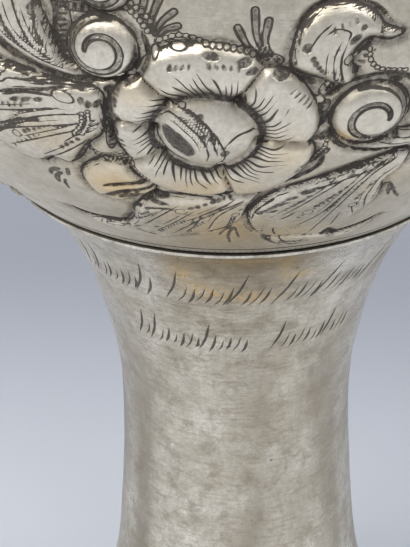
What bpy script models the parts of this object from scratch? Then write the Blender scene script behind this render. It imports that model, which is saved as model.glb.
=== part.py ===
"""A footed silver cup: a raised bowl with a chased band of flowers and scrolls, on a tall waisted foot.

Metres, +Z up, standing on z = 0, with the cup's axis on the Z axis. The front of the cup faces -Y.
"""

import math

import bmesh
import bpy
import numpy as np

# Bowl, heights from the seam between bowl and foot
SEAM_RADIUS = 0.0345
BELLY_RADIUS = 0.0617
BELLY_RISE = 0.044
NECK_RADIUS = 0.0589
NECK_RISE = 0.078
RIM_RADIUS = 0.0612
BOWL_RISE = 0.0985
RIM_BEAD = 0.0012
BOWL_WALL = 0.001
FLOOR_DROP = 0.009
FLOOR_FILLET = 0.005

# Foot: the waist as a drop from the seam, the spread as a height over the surface the cup stands on
FOOT_HEIGHT = 0.111
FOOT_WALL = 0.001
WAIST_RADIUS = 0.0182
WAIST_DROP = 0.045
SPREAD_RADIUS = 0.0325
SPREAD_RISE = 0.011
FOOT_RADIUS = 0.0425
STEP_HEIGHT = 0.0016
STEP_WIDTH = 0.0005
DOME_HEIGHT = 0.0016
FOOT_EDGE = 0.0034
STANDING_RING = 0.003

# Clearance between the soldered faces of bowl and foot, and round the bowl's floor inside the foot
SEAM_GAP = 0.0003
FLOOR_CLEARANCE = 0.001

# Swell of the bowl above the seam: how steeply it opens and how round it turns
SWELL_ANGLE = math.radians(46.9)
SWELL_PULL = 0.37
BELLY_PULL = 0.40

# Curves as shares of their own width and height: the bowl's floor, the foot's flare and its spread
FLOOR_CURVE = ((0.45, 1), (0.8, 0.55))
FLARE_CURVE = ((0.64, 0.155), (0.3, 0.4), (0.06, 0.73))
SPREAD_CURVE = ((0.05, 0.32), (0.17, 0.6), (0.5, 0.86))

# The foot's edge: where its low dome ends between spread and edge, how far in the standing ring starts
# as a share of the edge's thickness, and the angles that its rounded side turns through
DOME_SHARE = 0.55
EDGE_INSET = 0.3
EDGE_TURN = (70, -50)
BEAD_TURN = (150, -60)

# Chased band, drawn at belly size in millimetres: u runs round to the right, v up the wall from the seam
CHASED_HEIGHT = 0.064
CHASED_REPEATS = 5
DRAWN_HEIGHT = 64.0
DRAWN_PERIOD = 74.4

# Height of one drawn millimetre of relief in metres, and how wide the band runs out to the plain wall
RELIEF = 0.00055
CALM_MARGIN = 1.5

# Fineness of the solids
PLAIN_COLUMNS = 40
PLAIN_STRIDE = 6
BOWL_COLUMNS = PLAIN_COLUMNS * PLAIN_STRIDE
PLAIN_SPACING = 0.0105
BOWL_TRIANGLES = 7450
FOOT_COLUMNS = 32
FOOT_STEPS = 2
FOOT_SPACING = 0.0098
SWELL_ROWS = 60
WALL_ROWS = 36
MOUTH_ROWS = 6
FLOOR_ROWS = 4
SOFTENING = 1

# The flower: its centre, its domed boss, and the dip between the boss and the petals round it
FLOWER = (-4.4, 38.8)
BOSS_RADIUS = 5.9
BOSS_HEIGHT = 2.6
PETAL_HEIGHT = 1.8
PETAL_EDGE = 2.4
DIP_WIDTH = 1.4
DIP_DEPTH = 1.1
PETAL_ROOT = 6.9
PETAL_CURVE = 0.1
PETAL_SIDE = 1.3
# Petals as the angle where each begins and ends, in degrees, and how far it reaches from the centre
PETALS = (
    (57, 130, 13.4),
    (-8, 57, 13.6),
    (-77, -8, 14.3),
    (-149, -77, 13.4),
    (-190, -149, 11.5),
    (-230, -190, 12.3),
)

# Raised leaves and scrolls as height, width of the rounded edge and outline, from back to front
FORMS = (
    (0.9, 1.2, ((-32, 13.7), (-27, 12.1), (-22, 12.5), (-19, 11.6), (-13, 9.9), (-8.5, 9.9), (-11, 8.8),
                (-15, 7.7), (-19, 7.3), (-24, 8.5), (-28, 10.8))),
    (0.9, 1.2, ((17, 8.4), (19, 7.1), (22, 7.9), (24.5, 9.5), (26.3, 11.4), (25.3, 8.8), (23.3, 6.3),
                (20.5, 5.2), (17.8, 6))),
    (1.0, 1.4, ((4.5, 10.2), (5, 7.5), (7, 5.2), (10, 3.9), (14, 4.6), (17, 6.6), (17.2, 8.3), (13, 9.1),
                (8, 9.9))),
    (1.5, 2.2, ((2.2, 26.2), (-3, 25.2), (-8, 24.8), (-13, 24.2), (-15.2, 21.8), (-17, 19.6), (-17.8, 17),
                (-19.9, 14), (-20.4, 12), (-16.5, 10.6), (-12.5, 9.9), (-8.8, 10.8), (-4.8, 12.7),
                (-1.8, 15), (0.4, 18), (0.9, 21.5))),
    (1.6, 2.2, ((21.5, 33), (15.5, 31.2), (9, 28), (4.5, 25.6), (2, 22), (0.9, 19), (1.3, 15), (2.7, 11.6),
                (5.2, 10.3), (10, 9.9), (15, 9.4), (16.2, 11.6), (18.6, 14.6), (19.6, 17), (20.6, 19),
                (21.3, 22), (20.4, 26), (22.2, 29.8))),
    (1.5, 2.6, ((-12.6, 28.5), (-13.8, 31.4), (-17, 32.8), (-20.2, 31.4), (-22.5, 28.4), (-22.7, 25),
                (-21.4, 22), (-18.5, 21.6), (-15.5, 22.4), (-13.2, 24.6), (-12.1, 26.5))),
    (1.5, 2.2, ((-16.8, 45), (-22, 45.6), (-28, 47), (-33, 47.4), (-36, 44), (-36.5, 39), (-35, 34),
                (-31, 30.2), (-27.5, 29.6), (-25.3, 31), (-23, 30.4), (-21, 32.6), (-19.3, 35.6),
                (-17.2, 38), (-16.6, 41.5))),
    (1.6, 2, ((-14, 47.2), (-17, 46.6), (-20, 46.6), (-23, 47.3), (-26, 48.6), (-29.3, 51), (-32, 54.5),
                (-32.6, 59), (-30, 61.5), (-26.8, 60), (-24, 57), (-22.4, 54), (-21.2, 51), (-20, 48.6))),
    (1.6, 1.8, ((10.4, 41.5), (10.7, 38.3), (12.5, 35.6), (16, 34.4), (21, 34), (27, 35), (32, 38.4),
                (34.6, 43.3), (34.4, 48.3), (31.5, 51.7), (28, 52), (26, 50), (28.6, 49.2), (30.6, 46.6),
                (30, 42.3), (26.6, 38.9), (21.5, 37.6), (17, 37.4), (13, 38.6))),
    (1.7, 2.4, ((5.3, 48.8), (5.6, 52.4), (7, 55.2), (9.5, 56.6), (12.3, 56.4), (14.6, 55), (15.8, 53.3),
                (18, 52.2), (16.3, 51.5), (14.2, 52), (12.7, 51), (12, 49.4), (12.6, 47.5), (12.1, 46),
                (10.5, 46), (8.5, 47.2))),
    (1.0, 1.4, ((-18, 60), (-22, 61), (-26, 63), (-21, 62.9), (-16, 62.4), (-13, 61))),
)

# Rolled ends of the scrolls as centre, radius, height, the angle where the roll starts and its turns
VOLUTES = (
    (-15.8, 50.8, 4.1, 2, 180, -1.3),
    (-15.4, 58.6, 3.2, 1.7, 180, -1.2),
    (15.1, 41, 4.8, 2.1, -10, 1.35),
    (29.2, 48.6, 2.8, 1.7, 0, 1.2),
)
VOLUTE_ROUNDING = 0.45
ROLL_POINTS = 28
ROLL_START = 0.48
ROLL_WIDTH = 0.75
ROLL_DEPTH = 0.9

# Courses of the main veins and flutes
VEINS = (
    ((-18.6, 26.2), (-15, 27.7), (-12, 28)),
    ((-21, 22.3), (-19, 24), (-16, 26), (-12, 27.2)),
    ((-17.2, 23.1), (-15.4, 24.6), (-12.8, 26)),
    ((0.5, 24.9), (-5, 20), (-12, 12.2)),
    ((0.2, 23.6), (-3.5, 19.4), (-6, 13.8)),
    ((-1, 24.8), (-6, 20.4), (-10, 17)),
    ((15, 30), (12, 27), (8.2, 22.3), (6.2, 20)),
    ((20, 32.3), (16.8, 29), (14.2, 24), (11.6, 18.5), (7.6, 13.8)),
    ((20.5, 32), (17.6, 29), (15.2, 23), (13, 16), (11.5, 10.4)),
    ((20.8, 31), (18.6, 27), (18.4, 23), (19.5, 18.6)),
    ((-17.6, 41.6), (-23, 40.6), (-29, 38.3), (-34, 36)),
    ((-17.4, 40.4), (-22, 38), (-27, 35.2), (-32, 32.6)),
    ((-18.4, 37.4), (-23.5, 33.6), (-27, 31)),
    ((-18, 43.2), (-23, 42.4), (-29, 42.4), (-34, 43)),
    ((-20.8, 48.6), (-24, 50.6), (-26.6, 54), (-27.6, 58.6)),
    ((-22, 48.2), (-26, 50.4), (-29, 54), (-30, 58)),
    ((10.4, 46.6), (9.7, 50), (10.6, 52.2), (11.6, 53)),
    ((17, 36.2), (22, 35.8), (27.4, 37), (31.6, 41), (32.4, 46)),
)
VEIN_WIDTH = 0.8
VEIN_DEPTH = 0.65

# Groove that sinks the ground round every raised form
GROUND_WIDTH = 1.1
GROUND_DEPTH = 0.45


def clear_scene():
    """Starts from an empty file."""
    for old in list(bpy.data.objects):
        bpy.data.objects.remove(old, do_unlink=True)


def silver(name, roughness):
    """Worn silver, a warm grey."""
    material = bpy.data.materials.new(name)
    material.use_nodes = True
    shader = material.node_tree.nodes["Principled BSDF"]
    shader.inputs["Base Color"].default_value = (0.62, 0.58, 0.52, 1)
    shader.inputs["Metallic"].default_value = 1
    shader.inputs["Roughness"].default_value = roughness
    return material


def bezier(start, leave, arrive, end, rows):
    """Points along one Bezier arc, both ends included."""
    share = np.linspace(0, 1, rows + 1)[:, None]
    rest = 1 - share
    corners = [np.array(corner, float) for corner in (start, leave, arrive, end)]
    weights = (rest ** 3, 3 * rest ** 2 * share, 3 * rest * share ** 2, share ** 3)
    return sum(weight * corner for weight, corner in zip(weights, corners))


def flowing(knots, steps, closed=False):
    """Points along a smooth curve through the knots."""
    knots = np.array(knots, float)
    if closed:
        padded = np.vstack([knots[-1], knots, knots[0], knots[1]])
    else:
        padded = np.vstack([2 * knots[0] - knots[1], knots, 2 * knots[-1] - knots[-2]])
    share = (np.arange(steps) / steps)[:, None]
    pieces = []
    for before, first, second, after in zip(padded, padded[1:], padded[2:], padded[3:]):
        bend = 2 * before - 5 * first + 4 * second - after
        turn = 3 * first - before - 3 * second + after
        pieces.append(first + 0.5 * share * (second - before + share * (bend + share * turn)))
    if not closed:
        pieces.append(knots[-1:])
    return np.vstack(pieces)


def outward(profile):
    """Unit normals of a profile that runs upward on the outside of a wall."""
    along = np.gradient(profile, axis=0)
    along /= np.linalg.norm(along, axis=1)[:, None]
    return np.column_stack([along[:, 1], -along[:, 0]])


def lengths(profile):
    """Distance along a profile from its first point."""
    return np.concatenate([[0], np.cumsum(np.linalg.norm(np.diff(profile, axis=0), axis=1))])


def bowl_side():
    """The outer wall of the bowl as radius and height over the seam, from the seam to under the rim."""
    swell = math.hypot(BELLY_RADIUS - SEAM_RADIUS, BELLY_RISE)
    opening = (SEAM_RADIUS + SWELL_PULL * swell * math.sin(SWELL_ANGLE),
               SWELL_PULL * swell * math.cos(SWELL_ANGLE))
    lower = bezier((SEAM_RADIUS, 0), opening, (BELLY_RADIUS, BELLY_RISE * (1 - BELLY_PULL)),
                   (BELLY_RADIUS, BELLY_RISE), SWELL_ROWS)
    waist = (NECK_RISE - BELLY_RISE) / 3
    upper = bezier((BELLY_RADIUS, BELLY_RISE), (BELLY_RADIUS, BELLY_RISE + waist),
                   (NECK_RADIUS, NECK_RISE - waist), (NECK_RADIUS, NECK_RISE), WALL_ROWS)
    bead_foot = BOWL_RISE - 2 * RIM_BEAD
    flare = (bead_foot - NECK_RISE) / 3
    mouth = bezier((NECK_RADIUS, NECK_RISE), (NECK_RADIUS, NECK_RISE + flare),
                   (RIM_RADIUS - flare / 3, bead_foot - flare), (RIM_RADIUS, bead_foot), MOUTH_ROWS)
    return np.vstack([lower, upper[1:], mouth[1:]])


def thinned(profile, spacing):
    """The same profile with points at least a spacing apart, its last point kept."""
    kept = [0]
    along = lengths(profile)
    for place in range(1, len(profile) - 1):
        if along[place] - along[kept[-1]] >= spacing:
            kept.append(place)
    return profile[kept + [len(profile) - 1]]


def bowl_profile():
    """The whole bowl: up the inside from the middle of its floor, over the rim and down the outside.

    Returns the points, and for each the height v in the chased drawing, or -1 where the wall is plain.
    """
    side = bowl_side()
    along = lengths(side)
    chased = along <= CHASED_HEIGHT
    plain = thinned(side[~chased], PLAIN_SPACING)
    outside = np.vstack([side[chased], plain])
    drawn = np.full(len(outside), -1.0)
    drawn[:chased.sum()] = along[chased] / CHASED_HEIGHT * DRAWN_HEIGHT
    under_start = foot_inside()[0, 0] - FLOOR_CLEARANCE
    under = bezier((0, -FLOOR_DROP), *((under_start * out, -FLOOR_DROP * down) for out, down in FLOOR_CURVE),
                   (under_start, 0), FLOOR_ROWS)
    floor = under[:-1] + outward(under)[:-1] * -BOWL_WALL
    floor[0, 0] = 0
    side_inside = side - outward(side) * BOWL_WALL
    wall_inside = thinned(side_inside[along > FLOOR_FILLET], PLAIN_SPACING)
    bead_turn = np.radians(np.linspace(*BEAD_TURN, 5))
    bead = np.column_stack([RIM_RADIUS + RIM_BEAD * np.cos(bead_turn),
                            BOWL_RISE - RIM_BEAD + RIM_BEAD * np.sin(bead_turn)])
    seam_edge = np.array([[SEAM_RADIUS - SEAM_GAP, 0]])
    downward = outside[::-1][1:]
    points = np.vstack([floor, wall_inside[:-1], bead, downward, seam_edge, under[::-1]])
    before = len(floor) + len(wall_inside) - 1 + len(bead)
    heights = np.full(len(points), -1.0)
    heights[before:before + len(downward)] = drawn[::-1][1:]
    return points, heights


class Relief:
    """Heights of the chased pattern at given places of its drawing."""

    def __init__(self, u, v):
        half = DRAWN_PERIOD / 2
        self.u = (u + half) % DRAWN_PERIOD - half
        self.v = v
        self.height = np.zeros(len(u))

    def near(self, low, high, margin):
        """Each shift of one period at which an area reaches some of the places, with those places."""
        for shift in (-DRAWN_PERIOD, 0, DRAWN_PERIOD):
            u = self.u + shift
            inside = (u > low[0] - margin) & (u < high[0] + margin)
            inside &= (self.v > low[1] - margin) & (self.v < high[1] + margin)
            chosen = np.flatnonzero(inside)
            if len(chosen):
                yield chosen, u[chosen], self.v[chosen]

    def lift(self, chosen, depth, height, edge):
        """Raises a cushion where the depth inside its outline is above 0, and sinks the ground round it."""
        inside = np.clip(depth / edge, 0, 1)
        cushion = height * inside * (2 - inside)
        ground = -GROUND_DEPTH * np.clip(1 - np.abs(depth) / GROUND_WIDTH, 0, 1)
        self.height[chosen] = np.where(depth > 0, cushion, self.height[chosen]) + ground

    def form(self, height, edge, knots):
        """A raised form within a closed smooth outline."""
        outline = flowing(knots, 5, closed=True)
        for chosen, u, v in self.near(outline.min(0), outline.max(0), GROUND_WIDTH):
            self.lift(chosen, depth_inside(u, v, outline), height, edge)

    def groove(self, half_width, depth, path):
        """A groove along a path, ending in points."""
        for chosen, u, v in self.near(path.min(0), path.max(0), half_width):
            away, share = distance(u, v, path)
            width = half_width * np.clip(5 * np.minimum(share, 1 - share), 0.3, 1)
            self.height[chosen] -= depth * np.clip(1 - (away / width) ** 2, 0, 1)


def distance(u, v, path):
    """Distance of each place to a path, and the share of the path where it comes nearest."""
    nearest = np.full(len(u), np.inf)
    share = np.zeros(len(u))
    for number, (start, end) in enumerate(zip(path, path[1:])):
        run = end - start
        along = ((u - start[0]) * run[0] + (v - start[1]) * run[1]) / max(run @ run, 1e-12)
        along = np.clip(along, 0, 1)
        away = np.hypot(u - start[0] - along * run[0], v - start[1] - along * run[1])
        closer = away < nearest
        nearest = np.where(closer, away, nearest)
        share = np.where(closer, (number + along) / (len(path) - 1), share)
    return nearest, share


def depth_inside(u, v, outline):
    """Distance of each place to a closed outline, above 0 inside it and below 0 outside."""
    ring = np.vstack([outline, outline[:1]])
    away, _ = distance(u, v, ring)
    crossings = np.zeros(len(u), int)
    for start, end in zip(ring, ring[1:]):
        spans = (start[1] > v) != (end[1] > v)
        rise = end[1] - start[1] or 1e-12
        crossings += spans & (u < start[0] + (v - start[1]) * (end[0] - start[0]) / rise)
    return np.where(crossings % 2 == 1, away, -away)


def chase_flower(relief):
    """Six petals round a domed boss."""
    reach = max(petal[2] for petal in PETALS)
    centre = np.array(FLOWER)
    for chosen, u, v in relief.near(centre, centre, reach + GROUND_WIDTH):
        out = np.hypot(u - centre[0], v - centre[1])
        angle = np.degrees(np.arctan2(v - centre[1], u - centre[0]))
        for start, end, length in PETALS:
            turned = (angle - start) % 360
            within = turned < end - start
            across = 2 * turned / (end - start) - 1
            lobe = length * (1 - PETAL_CURVE * np.abs(across) ** 4)
            side = out * np.radians(end - start) / 2 * (1 - np.abs(across))
            depth = np.minimum(lobe - out, side * PETAL_SIDE)
            picked = within & (depth > -GROUND_WIDTH)
            relief.lift(chosen[picked], depth[picked], PETAL_HEIGHT, PETAL_EDGE)
        dip = np.clip(1 - np.abs(out - PETAL_ROOT) / DIP_WIDTH, 0, 1)
        relief.height[chosen] -= DIP_DEPTH * dip
        dome = np.clip(1 - (out / BOSS_RADIUS) ** 2, 0, 1)
        relief.height[chosen] = np.where(dome > 0, BOSS_HEIGHT * np.sqrt(dome), relief.height[chosen])


def chase_volute(relief, centre_u, centre_v, radius, height, start, turns):
    """A round scroll end with its roll cut as a spiral."""
    centre = np.array([centre_u, centre_v])
    for chosen, u, v in relief.near(centre, centre, radius + GROUND_WIDTH):
        depth = radius - np.hypot(u - centre_u, v - centre_v)
        relief.lift(chosen, depth, height, radius * VOLUTE_ROUNDING)
    share = np.linspace(0, 1, ROLL_POINTS)
    angle = np.radians(start) + share * turns * 2 * math.pi
    out = radius * (ROLL_START + (1 - ROLL_START) * share ** 2)
    roll = centre + np.column_stack([out * np.cos(angle), out * np.sin(angle)])
    relief.groove(ROLL_WIDTH, ROLL_DEPTH, roll)


def chased_heights(rows):
    """Height of the chasing over the plain wall in drawn millimetres, a line of columns for each row."""
    columns = np.arange(BOWL_COLUMNS) / BOWL_COLUMNS * CHASED_REPEATS * DRAWN_PERIOD
    u, v = (grid.ravel() for grid in np.meshgrid(columns, rows))
    relief = Relief(u, v)
    for height, edge, knots in FORMS:
        relief.form(height, edge, knots)
    for knots in VEINS:
        relief.groove(VEIN_WIDTH, VEIN_DEPTH, flowing(knots, 5))
    for volute in VOLUTES:
        chase_volute(relief, *volute)
    chase_flower(relief)
    calm = np.clip(np.minimum(v - CALM_MARGIN, DRAWN_HEIGHT - v) / CALM_MARGIN, 0, 1)
    heights = (relief.height * calm).reshape(len(rows), BOWL_COLUMNS)
    for _ in range(SOFTENING):
        heights = (np.roll(heights, 1, 1) + 2 * heights + np.roll(heights, -1, 1)) / 4
        heights[1:-1] = (heights[2:] + 2 * heights[1:-1] + heights[:-2]) / 4
    return heights


def turned(name, profile, columns):
    """A profile in the XZ plane, turned about the Z axis into a mesh."""
    mesh = bpy.data.meshes.new(name)
    points = [(radius, 0, height) for radius, height in profile]
    mesh.from_pydata(points, [(place, place + 1) for place in range(len(points) - 1)], [])
    blank = bpy.data.objects.new(name, mesh)
    bpy.context.scene.collection.objects.link(blank)
    screw = blank.modifiers.new("Turn", "SCREW")
    screw.steps = columns
    screw.render_steps = columns
    screw.use_merge_vertices = True
    screw.merge_threshold = 0.00001
    return blank


def made_mesh(blank):
    """The evaluated mesh of an object, which is then removed."""
    evaluated = blank.evaluated_get(bpy.context.evaluated_depsgraph_get())
    mesh = bpy.data.meshes.new_from_object(evaluated)
    bpy.data.objects.remove(blank, do_unlink=True)
    return mesh


def place_part(name, mesh, material, collection):
    """A named object of the cup, shaded smooth."""
    part = bpy.data.objects.new(name, mesh)
    mesh.name = name
    mesh.materials.clear()
    mesh.materials.append(material)
    mesh.shade_smooth()
    mesh.set_sharp_from_angle(angle=math.radians(40))
    collection.objects.link(part)
    return part


def build_bowl(collection, material):
    """The bowl with its chased band, raised from one sheet."""
    profile, drawn = bowl_profile()
    mesh = made_mesh(turned("bowl", profile, BOWL_COLUMNS))
    places = np.empty(len(mesh.vertices) * 3)
    mesh.vertices.foreach_get("co", places)
    places = places.reshape(-1, 3)
    radius = np.hypot(places[:, 0], places[:, 1])
    offsets = np.hypot(radius[:, None] - profile[None, :, 0], places[:, 2][:, None] - profile[None, :, 1])
    row = offsets.argmin(1)
    azimuth = np.arctan2(places[:, 0], -places[:, 1])
    column = np.rint(azimuth / (2 * math.pi) * BOWL_COLUMNS).astype(int) % BOWL_COLUMNS

    chased_rows = np.flatnonzero(drawn >= 0)
    heights = np.zeros((len(drawn), BOWL_COLUMNS))
    heights[chased_rows] = chased_heights(drawn[chased_rows])
    normals = -outward(profile)[row]
    lift = heights[row, column] * RELIEF
    places[:, 0] += normals[:, 0] * lift * np.sin(azimuth)
    places[:, 1] -= normals[:, 0] * lift * np.cos(azimuth)
    places[:, 2] += normals[:, 1] * lift
    mesh.vertices.foreach_set("co", places.ravel())

    solid = bmesh.new()
    solid.from_mesh(mesh)
    weights = solid.verts.layers.deform.verify()
    solid.verts.ensure_lookup_table()
    free = (row > chased_rows.min()) & (row < chased_rows.max())
    at_place = {(row[number], column[number]): number for number in range(len(row))}
    merged = {}
    for number in np.flatnonzero(~free & (radius > 1e-6)):
        target_column = PLAIN_STRIDE * round(column[number] / PLAIN_STRIDE) % BOWL_COLUMNS
        target = at_place[(row[number], target_column)]
        if target != number:
            merged[solid.verts[number]] = solid.verts[target]
    for number in range(len(row)):
        solid.verts[number][weights][0] = 1.0 if free[number] else 0.0
    bmesh.ops.weld_verts(solid, targetmap=merged)
    bmesh.ops.triangulate(solid, faces=solid.faces)
    solid.to_mesh(mesh)
    triangles = len(solid.faces)
    solid.free()

    bowl = place_part("bowl", mesh, material, collection)
    bowl.location.z = FOOT_HEIGHT
    bowl.vertex_groups.new(name="chased")
    thin = bowl.modifiers.new("Fewer faces", "DECIMATE")
    thin.decimate_type = "COLLAPSE"
    thin.vertex_group = "chased"
    thin.ratio = min(1, BOWL_TRIANGLES / triangles)
    thin.use_collapse_triangulate = True
    return bowl


def foot_side():
    """The outer wall of the foot as radius and drop, from the seam down to the end of its spread."""
    flare = SEAM_RADIUS - WAIST_RADIUS
    opening = SPREAD_RADIUS - WAIST_RADIUS
    spread_drop = FOOT_HEIGHT - SPREAD_RISE
    below = spread_drop - WAIST_DROP
    knots = [(SEAM_RADIUS, -SEAM_GAP)]
    knots += [(WAIST_RADIUS + flare * out, -WAIST_DROP * down) for out, down in FLARE_CURVE]
    knots.append((WAIST_RADIUS, -WAIST_DROP))
    knots += [(WAIST_RADIUS + opening * out, -WAIST_DROP - below * down) for out, down in SPREAD_CURVE]
    knots.append((SPREAD_RADIUS, -spread_drop))
    return flowing(knots, FOOT_STEPS)


def foot_inside():
    """The inner wall of the foot, from its flat top edge down."""
    side = foot_side()
    inside = side + outward(side[::-1])[::-1] * -FOOT_WALL
    inside = thinned(inside[inside[:, 1] < -SEAM_GAP], FOOT_SPACING)
    top = np.array([[inside[0, 0], -SEAM_GAP]])
    return np.vstack([top, inside])


def build_foot(collection, material):
    """The waisted foot, hollow from below, with a flat top edge and a stepped foot."""
    side = foot_side()
    inside = foot_inside()
    edge_top = FOOT_EDGE - FOOT_HEIGHT
    dome = np.array([
        [SPREAD_RADIUS + STEP_WIDTH, side[-1, 1] - STEP_HEIGHT],
        [SPREAD_RADIUS + (FOOT_RADIUS - SPREAD_RADIUS) * DOME_SHARE, edge_top + DOME_HEIGHT],
    ])
    turn = np.radians(np.linspace(*EDGE_TURN, 4))
    edge = np.column_stack([FOOT_RADIUS + FOOT_EDGE / 2 * (np.cos(turn) - 1),
                            edge_top + FOOT_EDGE / 2 * (np.sin(turn) - 1)])
    ring_outside = FOOT_RADIUS - FOOT_EDGE * EDGE_INSET
    ring_inside = ring_outside - STANDING_RING
    under_dome = dome[::-1] - [0, FOOT_WALL]
    standing = np.array([
        [ring_outside, -FOOT_HEIGHT],
        [ring_inside, -FOOT_HEIGHT],
        [ring_inside, edge_top],
    ])
    ring = np.vstack([side, dome, edge, standing, under_dome - [FOOT_WALL, 0], inside[::-1], side[:1]])
    mesh = made_mesh(turned("foot", ring, FOOT_COLUMNS))
    solid = bmesh.new()
    solid.from_mesh(mesh)
    bmesh.ops.remove_doubles(solid, verts=solid.verts, dist=0.00001)
    solid.to_mesh(mesh)
    solid.free()
    foot = place_part("foot", mesh, material, collection)
    foot.location.z = FOOT_HEIGHT
    return foot


def main():
    clear_scene()
    collection = bpy.data.collections.new("silver cup")
    bpy.context.scene.collection.children.link(collection)
    build_bowl(collection, silver("chased silver", 0.3))
    build_foot(collection, silver("plain silver", 0.35))


main()
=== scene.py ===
"""The looks of the silver cup: its chased bowl, its engraved foot, their worn silver, and a plain studio."""

import math

import bpy
import numpy as np
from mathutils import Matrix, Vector


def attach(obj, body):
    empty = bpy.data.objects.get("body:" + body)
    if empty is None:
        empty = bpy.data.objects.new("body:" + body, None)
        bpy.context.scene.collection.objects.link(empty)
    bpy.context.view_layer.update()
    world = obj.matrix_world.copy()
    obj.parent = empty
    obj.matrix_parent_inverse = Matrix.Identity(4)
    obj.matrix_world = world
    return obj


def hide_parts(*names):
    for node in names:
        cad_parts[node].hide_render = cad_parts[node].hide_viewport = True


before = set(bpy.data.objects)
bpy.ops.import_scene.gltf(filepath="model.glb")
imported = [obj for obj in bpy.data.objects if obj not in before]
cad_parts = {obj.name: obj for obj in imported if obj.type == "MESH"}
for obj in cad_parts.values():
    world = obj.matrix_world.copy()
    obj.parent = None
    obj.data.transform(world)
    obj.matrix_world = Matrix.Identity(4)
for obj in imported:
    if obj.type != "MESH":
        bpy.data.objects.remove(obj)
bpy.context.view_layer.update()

# Bowl, in metres, heights from the seam between bowl and foot
SEAM_RADIUS = 0.0345
BELLY_RADIUS = 0.0617
BELLY_RISE = 0.044
NECK_RADIUS = 0.0589
NECK_RISE = 0.078
RIM_RADIUS = 0.0612
BOWL_RISE = 0.0985
RIM_BEAD = 0.0012
BOWL_WALL = 0.001
FLOOR_DROP = 0.009
FLOOR_FILLET = 0.005
SWELL_ANGLE = math.radians(46.9)
SWELL_PULL = 0.37
BELLY_PULL = 0.40
FLOOR_CURVE = ((0.45, 1), (0.8, 0.55))

# Foot, in metres
FOOT_HEIGHT = 0.111
FOOT_WALL = 0.001
WAIST_RADIUS = 0.0182
WAIST_DROP = 0.045
SPREAD_RADIUS = 0.0325
SPREAD_RISE = 0.011
FOOT_RADIUS = 0.0425
STEP_HEIGHT = 0.0016
STEP_WIDTH = 0.0005
DOME_HEIGHT = 0.0016
DOME_SHARE = 0.55
FOOT_EDGE = 0.0034
STANDING_RING = 0.003
EDGE_INSET = 0.3
FLARE_CURVE = ((0.64, 0.155), (0.3, 0.4), (0.06, 0.73))
SPREAD_CURVE = ((0.05, 0.32), (0.17, 0.6), (0.5, 0.86))
SEAM_GAP = 0.0003
FLOOR_CLEARANCE = 0.001
UNDER_INSET = 0.0003

# The chased band is drawn flat in millimetres: u runs round to the right, v up the wall from the seam
DRAWN_HEIGHT = 64.0
DRAWN_PERIOD = 74.4
REPEATS = 5
PAPER_STEP = 0.1
RELIEF = 0.001
SHALLOW = 0.5
OUTLINE = 0.19
EDGE_REACH = 0.5
RAGGED = 0.055
RAY_SPACING = 6.2
RAY_WIDTH = 0.2
PETAL_HEIGHT = 0.95
BOWL_COLUMNS = 260
BOWL_ROW = 0.0014
PLAIN_ROW = 0.0024
INSIDE_ROW = 0.0045
FOOT_COLUMNS = 216
FOOT_ROW = 0.00098
FOOT_INSIDE_ROW = 0.0035
LEAST_FACE = 0.5e-6
COARSE_NEAR = 1.35

# Fine work: the echo line inside each form, twins beside long lines, short strokes, and the line at the seam
ECHO_INSET = 0.62
TWIN_AWAY = 0.85
TWIN_FROM = 6
TICK_WIDTH = 0.19
SEAM_LINE_HEIGHT = 1.9
SEAM_LINE_WIDTH = 0.26

# The photograph's camera, and how far past its frame and past edge-on the fine mesh reaches
SENSOR_WIDTH = 36
FRAME_WIDE = 0.80
FRAME_TALL = 1.06
EDGE_ON = -0.006
CAMERA_PLACE = (-0.00478, -0.27001, 0.24593)
CAMERA_AIM = (-0.00478, 0, 0.08763)
CAMERA_LENS = 131.6
CAMERA_ROLL = -0.75

# Colours of the metal and of what lies in its cuts
SILVER_RUBBED = (0.91, 0.85, 0.73, 1)
SILVER_LIGHT = (0.76, 0.69, 0.57, 1)
SILVER_DULL = (0.56, 0.50, 0.39, 1)
SILVER_STAINED = (0.32, 0.27, 0.20, 1)
# Golden toning, partly painted reflection and painted glints
GOLDEN_TONE_AND_GLINT = (0.80, 0.59, 0.30, 1)
# Painted brown reflection of the bowl on the foot
REFLECTED_BROWN = (0.42, 0.31, 0.20, 1)
# Black oxide in the cuts, also used as painted shadow on the ground beside the raised forms
SOOT_AND_SHADOW = (0.10, 0.085, 0.068, 1)
BLACK = (0.038, 0.030, 0.024, 1)

# The flower: centre, boss, and petals as start and end in degrees, reach, and length of their root cuts
FLOWER = (-4.4, 38.8)
BOSS_RADIUS = 5.9
BOSS_HEIGHT = 1.9
PETAL_ROOT = 6.6
PETALS = (
    (57, 130, 13.4, 3.3),
    (-8, 57, 13.6, 3.9),
    (-77, -8, 14.3, 4.2),
    (-149, -77, 13.4, 3.7),
    (-190, -149, 11.5, 2.4),
    (-230, -190, 12.3, 2.2),
)

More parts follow.
